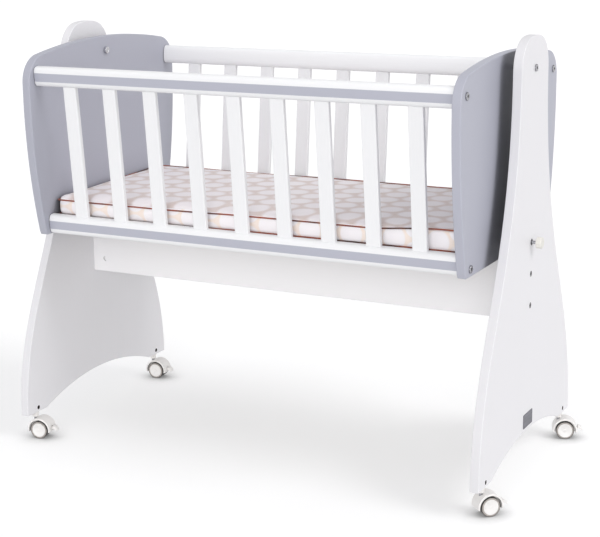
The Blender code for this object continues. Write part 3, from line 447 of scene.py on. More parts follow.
class Nodes:
    """Short calls for building a tree of nodes; a value may be a number, a tuple or another node's output."""

    def __init__(self, tree):
        self.tree = tree
        self.coords = self.add("ShaderNodeTexCoord").outputs

    def add(self, kind, inputs=None, **settings):
        node = self.tree.nodes.new(kind)
        for key, value in settings.items():
            setattr(node, key, value)
        for socket, value in (inputs or {}).items():
            self.feed(node.inputs[socket], value)
        return node

    def feed(self, socket, value):
        if isinstance(value, bpy.types.NodeSocket):
            self.tree.links.new(value, socket)
        elif isinstance(value, tuple) and socket.type == "RGBA":
            socket.default_value = (*value, 1)
        else:
            socket.default_value = value

    def remap(self, value, low, high, to_low, to_high, smooth=False):
        kind = "SMOOTHSTEP" if smooth else "LINEAR"
        inputs = {"Value": value, "From Min": low, "From Max": high, "To Min": to_low, "To Max": to_high}
        return self.add("ShaderNodeMapRange", inputs, interpolation_type=kind).outputs["Result"]

    def mix(self, kind, factor, first, second, mode="MIX"):
        """Mix two numbers, vectors or colours."""
        inputs = dict(zip(MIX_SOCKETS[kind], (factor, first, second)))
        node = self.add("ShaderNodeMix", inputs, data_type=kind, blend_type=mode)
        return node.outputs[MIX_OUTPUTS[kind]]

    def math(self, operation, *values):
        return self.add("ShaderNodeMath", dict(enumerate(values)), operation=operation).outputs[0]

    def vector(self, operation, *values):
        return self.add("ShaderNodeVectorMath", dict(enumerate(values)), operation=operation).outputs

    def multiplied(self, vector, number):
        inputs = {0: vector, "Scale": number}
        return self.add("ShaderNodeVectorMath", inputs, operation="SCALE").outputs[0]

    def split(self, vector):
        return self.add("ShaderNodeSeparateXYZ", {0: vector}).outputs

    def joined(self, *values):
        return self.add("ShaderNodeCombineXYZ", dict(enumerate(values))).outputs[0]


class Paint(Nodes):
    """A material that is kept in MATERIALS, and short calls for its looks."""

    def __init__(self, name, colour, roughness, **sockets):
        self.roughness = roughness
        MATERIALS[name] = bpy.data.materials.new(name)
        MATERIALS[name].use_nodes = True
        MATERIALS[name].diffuse_color = (*colour, 1)
        super().__init__(MATERIALS[name].node_tree)
        self.link(colour, "Base Color")
        self.link(roughness, "Roughness")
        for socket, value in sockets.items():
            self.link(value, socket.replace("_", " "))

    def link(self, value, socket):
        self.feed(self.tree.nodes["Principled BSDF"].inputs[socket], value)

    def noise(self, scale, detail, stretch=(1, 1, 1)):
        """Noise with about that many features to the metre, stretched along chosen axes."""
        mapping = self.add("ShaderNodeMapping", {"Vector": self.coords["Object"], "Scale": stretch})
        inputs = {"Vector": mapping.outputs["Vector"], "Scale": scale, "Detail": detail}
        return self.add("ShaderNodeTexNoise", inputs).outputs["Fac"]

    def openness(self, reach):
        """1 where nothing stands within reach, falling towards 0 where something does."""
        inputs = {"Distance": reach}
        return self.add("ShaderNodeAmbientOcclusion", inputs, samples=OPENNESS_SAMPLES).outputs["AO"]

    def dimmed(self, colour, value):
        return self.mix("RGBA", 1.0, colour, self.joined(value, value, value), "MULTIPLY")

    def shades(self, value, dark, light, limits):
        """A colour between two shades, by a noise."""
        return self.mix("RGBA", self.remap(value, *limits, 0, 1), dark, light)

    def tint(self, value, dark, light, limits=NOISE_SHARES):
        self.link(self.shades(value, dark, light, limits), "Base Color")

    def gloss(self, value, fall, rise):
        """Vary the roughness about its set value, by a noise."""
        low, high = self.roughness - fall, self.roughness + rise
        self.link(self.remap(value, *NOISE_SHARES, low, high), "Roughness")

    def bump(self, height, distance, strength=1.0, under=None):
        """A bump of that many metres, on top of another if one is given."""
        inputs = {"Height": height, "Distance": distance, "Strength": strength}
        if under is not None:
            inputs["Normal"] = under
        normal = self.add("ShaderNodeBump", inputs).outputs["Normal"]
        self.link(normal, "Normal")
        return normal


def scaled(colour, share):
    return tuple(value * share for value in colour)


WHITE_BOARD = (0.80, 0.79, 0.81)
# The stretcher's white, painted lighter than the uprights' board as painted light; its nut caps share it
STRETCHER_LIT_WHITE = (0.88, 0.87, 0.88)
WHITE_PAINT = (0.86, 0.86, 0.87)
GREY_PAINT = (0.45, 0.456, 0.525)
HARDBOARD_BROWN = (0.62, 0.58, 0.52)
# Painted shade: each end panel's grey is dimmed by its own share, the left more than the right
PANEL_SHADE_SHARES = {"left": 0.90, "right": 0.98}
BOARD_ROUGHNESS = 0.42
PAINT_ROUGHNESS = 0.38
HARDBOARD_ROUGHNESS = 0.7
EVEN_GRAIN = (1, 1, 1)
ACROSS_GRAIN = (1, 1, 0.06)
ALONG_GRAIN = (0.04, 1, 1)
BOARD_BUMP = 0.00002
PAINT_BUMP = 0.00005
HARDBOARD_BUMP = 0.00006
# How dark the boards' edges are painted, as painted shade
BOARD_EDGE_SHADE_SHARE = 0.91
BOARD_DARK_SHARE = 0.975
SLAT_DARK_SHARE = 0.945
RAIL_DARK_SHARE = 0.955
HARDBOARD_DARK_SHARE = 0.85

# Each noise below is its features to the metre, its detail and, in some, how its axes are stretched
BOARD_MOTTLE = (9, 4)
BOARD_FIBRE = (420, 4)
FIBRE_SHARE = 0.35
LACQUER_GLOSS = (0.04, 0.06)
EDGE_FACING_SHARES = (0.2, 0.8)
# Painted shade where another board stands close in front: its reach, the openness it fades over, its darkest
# share
RECESS_REACH = 0.11
RECESS_OPEN_SHARES = (0.15, 0.6)
RECESS_SHADE_SHARE = 0.30


def lacquer(
    name,
    colour,
    roughness=BOARD_ROUGHNESS,
    grain=EVEN_GRAIN,
    depth=BOARD_BUMP,
    dark_share=BOARD_DARK_SHARE,
    paint_recess_shade=False,
    edge_shade_share=1,
):
    """Sprayed or laminated board: faint mottling, a fine texture and a satin gloss that varies a little.

    It can have shade painted in where another board stands close in front, and painted shade on its edges.
    """
    paint = Paint(name, colour, roughness)
    mottle = paint.noise(*BOARD_MOTTLE, grain)
    fine = paint.noise(*BOARD_FIBRE, grain)
    both = paint.math("MULTIPLY_ADD", fine, FIBRE_SHARE, paint.math("MULTIPLY", mottle, 1 - FIBRE_SHARE))
    look = paint.shades(both, scaled(colour, dark_share), colour, NOISE_SHARES)
    # Painted shade: the colour darkens where another board stands close in front
    if paint_recess_shade:
        openness = paint.openness(RECESS_REACH)
        shading = paint.remap(openness, *RECESS_OPEN_SHARES, RECESS_SHADE_SHARE, 1, smooth=True)
        look = paint.dimmed(look, shading)
    # Painted shade: the faces that don't face along X, the edges, are darkened
    if edge_shade_share < 1:
        across = paint.math("ABSOLUTE", paint.split(paint.coords["Normal"])["X"])
        edge = paint.remap(across, *EDGE_FACING_SHARES, 1, 0)
        look = paint.mix("RGBA", edge, look, scaled(colour, edge_shade_share))
    paint.link(look, "Base Color")
    paint.gloss(mottle, *LACQUER_GLOSS)
    paint.bump(fine, depth)


METAL_CLOUD = (300, 3)
METAL_SCRATCH = (900, 5, (1, 1, 0.1))
METAL_DARK_SHARE = 0.85
METAL_GLOSS = (0.06, 0.10)
METAL_BUMP = 0.00001


def metal(name, colour, roughness):
    """Plated steel with fine scratches and a slightly cloudy finish."""
    paint = Paint(name, colour, roughness, Metallic=1.0)
    scratch = paint.noise(*METAL_SCRATCH)
    paint.gloss(paint.noise(*METAL_CLOUD), *METAL_GLOSS)
    paint.tint(scratch, scaled(colour, METAL_DARK_SHARE), colour)
    paint.bump(scratch, METAL_BUMP)


PLASTIC_CLOUD = (60, 3)
PLASTIC_SKIN = (1500, 3)
PLASTIC_DARK_SHARE = 0.95
PLASTIC_GLOSS = (0.05, 0.07)
PLASTIC_BUMP = 0.000015
BORE_SHADE_BUMP = 0.0001


def plastic(name, colour, roughness, depth=PLASTIC_BUMP):
    """Moulded plastic: an even colour with a faint texture and soft gloss."""
    paint = Paint(name, colour, roughness)
    cloud = paint.noise(*PLASTIC_CLOUD)
    paint.tint(cloud, scaled(colour, PLASTIC_DARK_SHARE), colour)
    paint.gloss(cloud, *PLASTIC_GLOSS)
    paint.bump(paint.noise(*PLASTIC_SKIN), depth)


RUBBER_DUST = (220, 4)
RUBBER_SKIN = (1800, 3)
RUBBER_ROUGHNESS = 0.55
RUBBER_SHARES = (0.8, 1.12)
RUBBER_BUMP = 0.00003


def tyre_rubber(name, colour):
    paint = Paint(name, colour, RUBBER_ROUGHNESS)
    dark, light = (scaled(colour, share) for share in RUBBER_SHARES)
    paint.tint(paint.noise(*RUBBER_DUST), dark, light)
    paint.bump(paint.noise(*RUBBER_SKIN), RUBBER_BUMP)


TAPE_RUSSET = (0.30, 0.075, 0.04)
TAPE_DARK = (0.075, 0.035, 0.03)
TAPE_ROUGHNESS = 0.8
TAPE_PATCH = (14, 3)
TAPE_PATCH_SHARES = (0.38, 0.56)
TAPE_STRAND = (700, 2)
TAPE_BUMP = 0.0002


def cord_cotton(name):
    """The piping's woven tape: russet with darker twisted strands."""
    paint = Paint(name, TAPE_RUSSET, TAPE_ROUGHNESS, Sheen_Weight=0.2)
    patch = paint.noise(*TAPE_PATCH)
    paint.tint(patch, TAPE_DARK, TAPE_RUSSET, TAPE_PATCH_SHARES)
    paint.bump(paint.noise(*TAPE_STRAND), TAPE_BUMP)


PLATE_GREY = (0.13, 0.13, 0.15)
PLATE_SHADES = ((0.10, 0.10, 0.12), (0.22, 0.22, 0.25))
PLATE_ROUGHNESS = 0.42
PLATE_BRUSHING = (1600, 4, (1, 0.02, 1))


def plate_metal(name):
    """A dull dark plate, brushed across."""
    paint = Paint(name, PLATE_GREY, PLATE_ROUGHNESS, Metallic=0.6)
    brushed = paint.noise(*PLATE_BRUSHING)
    paint.tint(brushed, *PLATE_SHADES)
    paint.bump(brushed, METAL_BUMP)


# The mattress print: its lattice is drawn apart on the top and the sides, each shifted into its own place
PATTERN_TOP_PITCH = 0.0575
PATTERN_SIDE_PITCH = 0.0505
PATTERN_SPOT_SHARE = 0.445
PATTERN_SOFT_SHARE = 0.035
PATTERN_TOP_EXTRA_SHARE = 0.040
PATTERN_TOP_SOFT_SHARE = 0.06
PATTERN_WOBBLE_SHARE = 0.16
PATTERN_WOBBLE = (34, 3)
PATTERN_TOP_SHIFT = (-0.0092, -0.0046, 0)
PATTERN_SIDE_SHIFT = (-0.5004, -0.0495, 0)
HALF_CELL = (1 / 2, math.sqrt(3) / 2, 1)
# Painted light and shade: the top's print is painted darker and greyer, the sides' lighter
SHADED_TOP_GROUND = (0.87, 0.82, 0.84)
SHADED_TOP_BAND = (0.68, 0.565, 0.53)
LIT_SIDE_GROUND = (0.95, 0.92, 0.94)
LIT_SIDE_BAND = (0.94, 0.82, 0.73)
TOP_FACING_SHARE = 0.6
END_FACING_SHARE = 0.7
COTTON_ROUGHNESS = 0.9
SLUB = (160, 4)
SLUB_SHARES = (0.25, 0.75)
PRINT_SHARES = (0.75, 1.0)
SLUB_BUMP = 0.0004
SLUB_BUMP_SHARE = 0.5
WEAVE_PITCH = 0.0012
WEAVE_SHARES = (0.94, 1.0)
WEAVE_BUMP = 0.00008
WEAVE_BUMP_SHARE = 0.6


def print_mask(paint, cloth, is_flat):
    """0 in the pale round spots and 1 in the bands between them, by the distance to the nearest spot."""
    side_cells = 1 / PATTERN_SIDE_PITCH
    cells = paint.math("MULTIPLY_ADD", is_flat, 1 / PATTERN_TOP_PITCH - side_cells, side_cells)
    lattice = paint.multiplied(cloth, cells)
    spots = []
    for shift in ((0, 0, 0), (*HALF_CELL[:2], 0)):
        moved = paint.vector("ADD", lattice, shift)[0]
        cell = paint.vector("WRAP", moved, HALF_CELL, scaled(HALF_CELL, -1))[0]
        spots.append(paint.vector("LENGTH", cell)["Value"])
    wobble = paint.noise(*PATTERN_WOBBLE)
    wobble = paint.math("MULTIPLY_ADD", wobble, PATTERN_WOBBLE_SHARE, -PATTERN_WOBBLE_SHARE / 2)
    widened = paint.math("ADD", wobble, PATTERN_TOP_EXTRA_SHARE)
    nearest = paint.math("MULTIPLY_ADD", is_flat, widened, paint.math("MINIMUM", *spots))
    soft = paint.math("MULTIPLY_ADD", is_flat, PATTERN_TOP_SOFT_SHARE, PATTERN_SOFT_SHARE)
    inner = paint.math("SUBTRACT", PATTERN_SPOT_SHARE, soft)
    outer = paint.math("ADD", PATTERN_SPOT_SHARE, soft)
    return paint.remap(nearest, inner, outer, 0, 1, smooth=True)


def cotton(name):
    """Printed cotton: pale round spots in a staggered lattice of peach bands, on a plain weave, its top
    painted darker and greyer as shade.
    """
    paint = Paint(name, SHADED_TOP_GROUND, COTTON_ROUGHNESS, Sheen_Weight=0.25, Sheen_Roughness=0.5)
    place = paint.split(paint.coords["Object"])
    facing = paint.split(paint.coords["Normal"])
    is_end = paint.math("GREATER_THAN", paint.math("ABSOLUTE", facing["X"]), END_FACING_SHARE)
    is_flat = paint.math("GREATER_THAN", paint.math("ABSOLUTE", facing["Z"]), TOP_FACING_SHARE)
    front = paint.joined(place["Z"], place["X"])
    end = paint.joined(place["Z"], place["Y"])
    upright = paint.vector("ADD", paint.mix("VECTOR", is_end, front, end), PATTERN_SIDE_SHIFT)[0]
    level = paint.vector("ADD", paint.joined(place["Y"], place["X"]), PATTERN_TOP_SHIFT)[0]
    cloth = paint.mix("VECTOR", is_flat, upright, level)
    thread = paint.split(paint.multiplied(cloth, 2 * math.pi / WEAVE_PITCH))
    weave = paint.math("MULTIPLY", paint.math("SINE", thread["X"]), paint.math("SINE", thread["Y"]))
    slub = paint.noise(*SLUB)
    depth = paint.remap(slub, *SLUB_SHARES, *PRINT_SHARES)
    printed = paint.math("MULTIPLY", print_mask(paint, cloth, is_flat), depth)
    # Painted shade on the top, painted light on the sides
    ground = paint.mix("RGBA", is_flat, LIT_SIDE_GROUND, SHADED_TOP_GROUND)
    band = paint.mix("RGBA", is_flat, LIT_SIDE_BAND, SHADED_TOP_BAND)
    colour = paint.mix("RGBA", printed, ground, band)
    paint.link(paint.dimmed(colour, paint.remap(weave, -1, 1, *WEAVE_SHARES)), "Base Color")
    under = paint.bump(weave, WEAVE_BUMP, WEAVE_BUMP_SHARE)
    paint.bump(slub, SLUB_BUMP, SLUB_BUMP_SHARE, under)


# Colour and roughness of each metal and plastic, and the colour of each rubber
METALS = {
    "steel": ((0.38, 0.38, 0.40), 0.20),
    "bright_steel": ((0.62, 0.62, 0.64), 0.16),
    "grey_steel": ((0.30, 0.30, 0.31), 0.40),
    # Near-black steel for sockets and for parts down in holes, partly painted shade in the hollows
    "dark_steel_and_hole_shade": ((0.10, 0.10, 0.11), 0.45),
}
PLASTICS = {
    "knob_plastic": ((0.77, 0.75, 0.70), 0.38),
    "hood_plastic": ((0.84, 0.82, 0.80), 0.33),
    "disc_plastic": ((0.84, 0.82, 0.80), 0.30),
    # Near-black bore walls: painted shade in the holes, not the board's own core colour
    "bore_shade": ((0.045, 0.038, 0.032), 0.8, BORE_SHADE_BUMP),
}
RUBBERS = {"tyre": (0.075, 0.070, 0.066), "tyre_band": (0.41, 0.375, 0.345)}


def make_materials():
    lacquer("white_board", WHITE_BOARD, grain=ACROSS_GRAIN, edge_shade_share=BOARD_EDGE_SHADE_SHARE)
    # Painted light: the stretcher and its nut caps get a lighter copy of the board's white
    lacquer("stretcher_board", STRETCHER_LIT_WHITE, grain=ALONG_GRAIN)
    lacquer("white_slat", WHITE_PAINT, PAINT_ROUGHNESS, ACROSS_GRAIN, PAINT_BUMP, SLAT_DARK_SHARE)
    lacquer("white_rail", WHITE_PAINT, PAINT_ROUGHNESS, ALONG_GRAIN, PAINT_BUMP, RAIL_DARK_SHARE)
    # Painted shade: a darker copy of the grey for the left panel, a nearly full one for the right
    for side_name, share in PANEL_SHADE_SHARES.items():
        lacquer("shaded_grey_panel_" + side_name, scaled(GREY_PAINT, share), paint_recess_shade=True)
    lacquer("grey_stripe", GREY_PAINT, grain=ALONG_GRAIN)
    look = {"roughness": HARDBOARD_ROUGHNESS, "depth": HARDBOARD_BUMP, "dark_share": HARDBOARD_DARK_SHARE}
    lacquer("hardboard", HARDBOARD_BROWN, **look)
    cotton("cotton")
    cord_cotton("piping")
    plate_metal("plate_metal")
    for name, look in METALS.items():
        metal(name, *look)
    for name, look in PLASTICS.items():
        plastic(name, *look)
    for name, colour in RUBBERS.items():
        tyre_rubber(name, colour)


def keep(obj, body, slot=None, *nodes):
    """Fasten a finished piece to its body and hide the solids it stands for; its slot argument is not used.
    """
    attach(obj, body)
    if nodes:
        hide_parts(*nodes)
    return obj


# The stand

HEAD_RIM_START = math.radians(80)
FLUTE_STEPS = 10


def upright_outline():
    top = crowned_top(NECK_HALF_WIDTH, UPRIGHT_TOP, CROWN_RADIUS, SHOULDER_RADIUS)
    neck = top[-1]
    foot = (FOOT_HALF_WIDTH, FOOT_BOTTOM)
    height = neck[1] - foot[1]
    neck_handle = (neck[0], neck[1] - NECK_HANDLE_SHARE * height)
    foot_handle = (foot[0], foot[1] + FOOT_HANDLE_SHARE * height)
    side = bezier(neck, neck_handle, foot_handle, foot)
    chord = FOOT_HALF_WIDTH - FOOT_LENGTH
    arch_radius = (chord**2 + ARCH_RISE**2) / (2 * ARCH_RISE)
    half_turn = math.asin(chord / arch_radius)
    centre = (0, FOOT_BOTTOM + ARCH_RISE - arch_radius)
    return mirrored_outline(top + side[1:] + arc(centre, arch_radius, QUARTER - half_turn, QUARTER))


def make_upright(side_name):
    side = SIDES[side_name]
    middle = side * UPRIGHT_MIDDLE_X
    outer = side * UPRIGHT_OUTER_X
    name = "upright_" + side_name
    place = at(middle, 0, 0) @ TO_YZ
    board = prism(name + "_board", upright_outline(), BOARD_THICKNESS, place, ["white_board"])
    round_edges(board, UPRIGHT_EDGE_ROUND)
    through = BOARD_THICKNESS + 2 * OVERRUN
    bores = [("pivot_bore", PIVOT_BOLT_RADIUS + SEAT, through, middle, 0, PIVOT_HEIGHT)]
    for height in STRETCHER_BOLT_HEIGHTS.values():
        bores.append(("counterbore", STRETCHER_HEAD_RADIUS + SEAT, 2 * COUNTERBORE_DEPTH, outer, 0, height))
    for end in ENDS.values():
        bores.append(("nut_bore", BARREL_NUT_RADIUS + SEAT, through, middle, end * STEM_Y, BARREL_NUT_Z))
    if side_name == "right":
        bores.append(("lock_bore", LOCK_PIN_RADIUS + SEAT, through, middle, 0, LOCK_Z))
        bores.append(("lock_mouth", LOCK_MOUTH_RADIUS, 2 * LOCK_MOUTH_DEPTH, outer, 0, LOCK_Z))
    cuts = []
    for label, radius, length, *spot in bores:
        # The bores' walls take the near-black bore material: painted shade in the holes
        cuts.append(rod(label, radius, length, at(*spot) @ TO_X[1], ["bore_shade"]))
    carve(board, cuts)
    even_shading(board)
    keep(board, "stand", "white_board", name)


def make_stretcher():
    length = 2 * (UPRIGHT_INNER_X - SEAT)
    outline = rounded_rectangle(BOARD_THICKNESS, STRETCHER_HEIGHT, UPRIGHT_EDGE_ROUND, EDGE_STEPS)
    place = at(0, 0, STRETCHER_MIDDLE_Z) @ TO_YZ
    board = prism("stretcher_board", outline, length, place, ["stretcher_board"])
    depth = BOARD_THICKNESS + STRETCHER_NUT_LENGTH
    cuts = []
    for side in SIDES.values():
        for height in STRETCHER_BOLT_HEIGHTS.values():
            spot = at(side * STRETCHER_NUT_X, -BOARD_THICKNESS / 2, height) @ TO_Y[1]
            cuts.append(rod("nut_bore", STRETCHER_NUT_RADIUS + SEAT, depth, spot))
    carve(board, cuts)
    even_shading(board)
    keep(board, "stand", "white_board", "stretcher")


def make_bolt(node, body, place, head, shank, paint):
    """A bolt with a low domed head and a hex socket. Head and shank are each a radius and a length."""
    head_radius, head_height = head
    shank_radius, shank_length = shank
    profile = [(0, head_height), (head_radius / 2, head_height - HEAD_ROUND / 8)]
    rim_centre = (head_radius - HEAD_ROUND, head_height - HEAD_ROUND)
    profile += arc(rim_centre, HEAD_ROUND, HEAD_RIM_START, 0, CORNER_STEPS)
    profile += [(head_radius, 0), (shank_radius, 0), (shank_radius, -shank_length), (0, -shank_length)]
    bolt = lathe(node + "_steel", profile, place, [paint])
    spot = place @ at(0, 0, head_height + (OVERRUN - SOCKET_DEPTH) / 2)
    # The socket's walls are near-black steel: painted shade in the hollow
    carve(bolt, [rod("socket", SOCKET_RADIUS, SOCKET_DEPTH + OVERRUN, spot, ["dark_steel_and_hole_shade"], SOCKET_SIDES)])
    keep(bolt, body, "steel", node)


def make_stretcher_bolts():
    seat_x = UPRIGHT_OUTER_X - COUNTERBORE_DEPTH + SEAT
    head = (STRETCHER_HEAD_RADIUS, STRETCHER_HEAD_HEIGHT)
    shank = (STRETCHER_BOLT_RADIUS, seat_x - STRETCHER_NUT_X + STRETCHER_BOLT_END)
    nut_profile = chamfered_profile(STRETCHER_NUT_RADIUS, STRETCHER_NUT_LENGTH / 2, HEAD_ROUND)
    for side_name, side in SIDES.items():
        for level_name, height in STRETCHER_BOLT_HEIGHTS.items():
            node = "stretcher_bolt_" + side_name + "_" + level_name
            make_bolt(node, "stand", at(side * seat_x, 0, height) @ TO_X[side], head, shank, "grey_steel")
            nut_place = at(side * STRETCHER_NUT_X, 0, height) @ TO_Y[-1]
            keep(lathe(node + "_nut_cap", nut_profile, nut_place, ["stretcher_board"]), "stand", "steel")


def make_pivot_bolts():
    head_x = UPRIGHT_OUTER_X + SEAT
    nut_top = PANEL_INNER_X - SEAT - head_x
    head, shank = (PIVOT_HEAD_RADIUS, PIVOT_HEAD_HEIGHT), (PIVOT_BOLT_RADIUS, -nut_top)
    nut_end = nut_top - PIVOT_NUT_HEIGHT
    nut_profile = [(0, nut_top), (PIVOT_NUT_RADIUS, nut_top), (PIVOT_NUT_RADIUS, nut_end + 2 * HEAD_ROUND)]
    rim_centre = (PIVOT_NUT_RADIUS - HEAD_ROUND, nut_end + HEAD_ROUND)
    nut_profile += arc(rim_centre, HEAD_ROUND, 0, -QUARTER, CORNER_STEPS) + [(PIVOT_BOLT_RADIUS, nut_end)]
    nut_profile += [(PIVOT_BOLT_RADIUS - HEAD_ROUND, nut_end + HEAD_ROUND), (0, nut_end + HEAD_ROUND)]
    for side_name, side in SIDES.items():
        node = "pivot_bolt_" + side_name
        place = at(side * head_x, 0, PIVOT_HEIGHT) @ TO_X[side]
        make_bolt(node, "stand", place, head, shank, "steel")
        keep(lathe(node + "_nut", nut_profile, place, ["bright_steel"]), "stand", "steel")


PLATE_WIDTH = 0.052
PLATE_HEIGHT = 0.028
PLATE_THICKNESS = 0.0012
PLATE_CORNER = 0.0015
PLATE_RIM = 0.0016
PLATE_Z = 0.1145


def make_plate():
    """The plain plate low on the right upright, with a thin raised rim and nothing written on it."""
    place = at(UPRIGHT_OUTER_X + PLATE_THICKNESS / 2, 0, PLATE_Z) @ TO_YZ
    outline = rounded_rectangle(PLATE_WIDTH, PLATE_HEIGHT, PLATE_CORNER)
    plate = prism("upright_plate", outline, PLATE_THICKNESS, place, ["plate_metal"])
    well = rounded_rectangle(PLATE_WIDTH - 2 * PLATE_RIM, PLATE_HEIGHT - 2 * PLATE_RIM, PLATE_CORNER / 2)
    floor_place = at(UPRIGHT_OUTER_X + PLATE_THICKNESS, 0, PLATE_Z) @ TO_YZ
    carve(plate, [prism("well", well, PLATE_THICKNESS / 2, floor_place)])
    keep(plate, "stand")


def make_lock_pin():
    """The drawn-back pin, and its fluted knob with a shallow dish in the end."""
    tip = PANEL_OUTER_X + LOCK_PIN_TIP_GAP
    knob_start = UPRIGHT_OUTER_X + LOCK_KNOB_STANDOFF
    knob_end = knob_start + LOCK_KNOB_LENGTH
    middle = (tip + knob_end - HEAD_ROUND) / 2
    place = at(middle, 0, LOCK_Z) @ TO_X[1]
    shank = rod("lock_pin_shank", LOCK_PIN_RADIUS, knob_end - HEAD_ROUND - tip, place, ["steel"])
    round_edges(shank, HEAD_ROUND / 2, CHAMFER_STEPS)
    keep(shank, "lock_pin", "steel")
    count = LOCK_KNOB_FLUTES * FLUTE_STEPS
    outline = []
    for i in range(count):
        turn = 2 * math.pi * i / count
        radius = LOCK_KNOB_RADIUS - LOCK_KNOB_FLUTE_DEPTH * (1 - math.cos(LOCK_KNOB_FLUTES * turn)) / 2
        outline.append((radius * math.cos(turn), radius * math.sin(turn)))
    place = at((knob_start + knob_end) / 2, 0, LOCK_Z) @ TO_X[1]
    knob = prism("lock_pin_grip", outline, LOCK_KNOB_LENGTH, place, ["knob_plastic"])
    round_edges(knob, 2 * HEAD_ROUND, TIGHT_STEPS)
    rim = LOCK_KNOB_RADIUS / 2
    dish = [(0, OVERRUN), (rim, OVERRUN), (rim, -HEAD_ROUND / 4), (0, -HEAD_ROUND)]
    carve(knob, [lathe("dish", dish, at(knob_end, 0, LOCK_Z) @ TO_X[1])])
    keep(knob, "lock_pin", "cream_plastic", "lock_pin")


def make_lock_bush():
    """The ring in the upright's counterbore that the pin slides in."""
    inner, outer = LOCK_PIN_RADIUS + SEAT, LOCK_MOUTH_RADIUS - SEAT
    floor = SEAT - LOCK_MOUTH_DEPTH
    ring = [(inner, 0), (outer, 0), (outer, floor), (inner, floor), (inner, 0)]
    # Near-black, partly painted shade in the counterbore
    bush = lathe("lock_bush", ring, at(UPRIGHT_OUTER_X - SEAT, 0, LOCK_Z) @ TO_X[1], ["dark_steel_and_hole_shade"])
    bm = bmesh.new()
    bm.from_mesh(bush.data)
    bmesh.ops.remove_doubles(bm, verts=bm.verts, dist=WELD)
    bmesh.ops.recalc_face_normals(bm, faces=bm.faces)
    bm.to_mesh(bush.data)
    bm.free()
    keep(bush, "stand", "steel")


# The casters: each piece is drawn once with its trail along X, then copied into the four places

TYRE_STEP = 0.0011
TYRE_ROUND = 0.0006
TYRE_RADIUS = AXLE_HEIGHT
TYRE_BAND_RADIUS = 0.0182
TYRE_BAND_STEP = 0.0005
DISC_RADIUS = 0.0150
DISC_GAP = 0.0005
DISC_DISH = 0.0006
DISC_RIM = 0.0016
DISC_RING_RADIUS = 0.0092
DISC_CAP_RADIUS = 0.0034
WHEEL_ROUND = 72
DISC_ROUND = 64
CAVITY_ROUND = 90
HOOD_EDGE_ROUND = 0.0026
HOOD_SKIRT_ANGLE = math.radians(10)
BARREL_NUT_SINK = 0.0055
AXLE_PLACE = at(CASTER_TRAIL, 0, AXLE_HEIGHT)
SIDE_VIEW = turned(QUARTER, "X")


def copy_to_casters(piece, part, slot=None, whole=False):
    """Put a copy of a piece into each caster; whole means that it stands for all of that part's solid."""
    for (side_name, end_name), turn in CASTER_TURNS.items():
        caster = "caster_" + side_name + "_" + end_name
        place = at(SIDES[side_name] * UPRIGHT_MIDDLE_X, ENDS[end_name] * STEM_Y, 0)
        body = "stand"
        if part != "stem":
            place = place @ turned(turn, "Z")
            body = caster + "_" + part
        twin = piece.copy()
        twin.data = piece.data.copy()
        twin.name = caster + "_" + piece.name
        twin.data.transform(place)
        bpy.context.scene.collection.objects.link(twin)
        nodes = [caster + "_" + part] if whole else []
        keep(twin, body, slot, *nodes)
    discard(piece)


def tyre_profile():
    """One wheel's dark rubber, from its inner hub face round the tread to the seat of its side band."""
    inner = WEB_THICKNESS / 2 + WHEEL_SIDE_GAP
    outer = WHEEL_SET_WIDTH / 2 - TYRE_STEP
    round_in, round_out = TYRE_ROUND / 2, TYRE_ROUND
    profile = [(0, inner), (TYRE_RADIUS - round_in, inner)]
    profile += arc((TYRE_RADIUS - round_in, inner + round_in), round_in, -QUARTER, 0, TIGHT_STEPS)[1:]
    profile += arc((TYRE_RADIUS - round_out, outer - round_out), round_out, 0, QUARTER, WIDE_STEPS)
    seat = outer - TYRE_STEP
    return profile + [(TYRE_BAND_RADIUS, outer), (TYRE_BAND_RADIUS, seat), (0, seat)]


def band_profile():
    """The paler ring between the tyre and the disc."""
    top = WHEEL_SET_WIDTH / 2 - TYRE_STEP + TYRE_BAND_STEP
    bottom = WHEEL_SET_WIDTH / 2 - 2 * TYRE_STEP
    inner, outer = DISC_RADIUS + DISC_GAP, TYRE_BAND_RADIUS - DISC_GAP
    edge = arc((outer - TYRE_BAND_STEP, top - TYRE_BAND_STEP), TYRE_BAND_STEP, 0, QUARTER, TIGHT_STEPS)
    hub = [(inner, top), (inner, bottom + DISC_GAP), (0, bottom + DISC_GAP)]
    return [(0, bottom), (outer, bottom)] + edge + hub


def disc_profile():
    """The white disc: a rounded rim, a shallow dish with a ring, and a small cap on the axle's end."""
    outer = WHEEL_SET_WIDTH / 2
    floor = outer - DISC_DISH
    bottom = outer - 2 * TYRE_STEP + 2 * DISC_GAP
    cap = arc((DISC_CAP_RADIUS - DISC_DISH, outer - DISC_DISH), DISC_DISH, QUARTER, 0, TIGHT_STEPS)
    ring = [(DISC_RING_RADIUS - DISC_DISH, floor), (DISC_RING_RADIUS, floor + DISC_DISH / 2)]
    rim = [(DISC_RADIUS - DISC_RIM, floor + DISC_DISH / 2)]
    rim += arc((DISC_RADIUS - DISC_RIM / 2, outer - DISC_RIM / 2), DISC_RIM / 2, QUARTER, 0, CORNER_STEPS)
    return [(0, outer)] + cap + ring + rim + [(DISC_RADIUS, bottom), (0, bottom)]


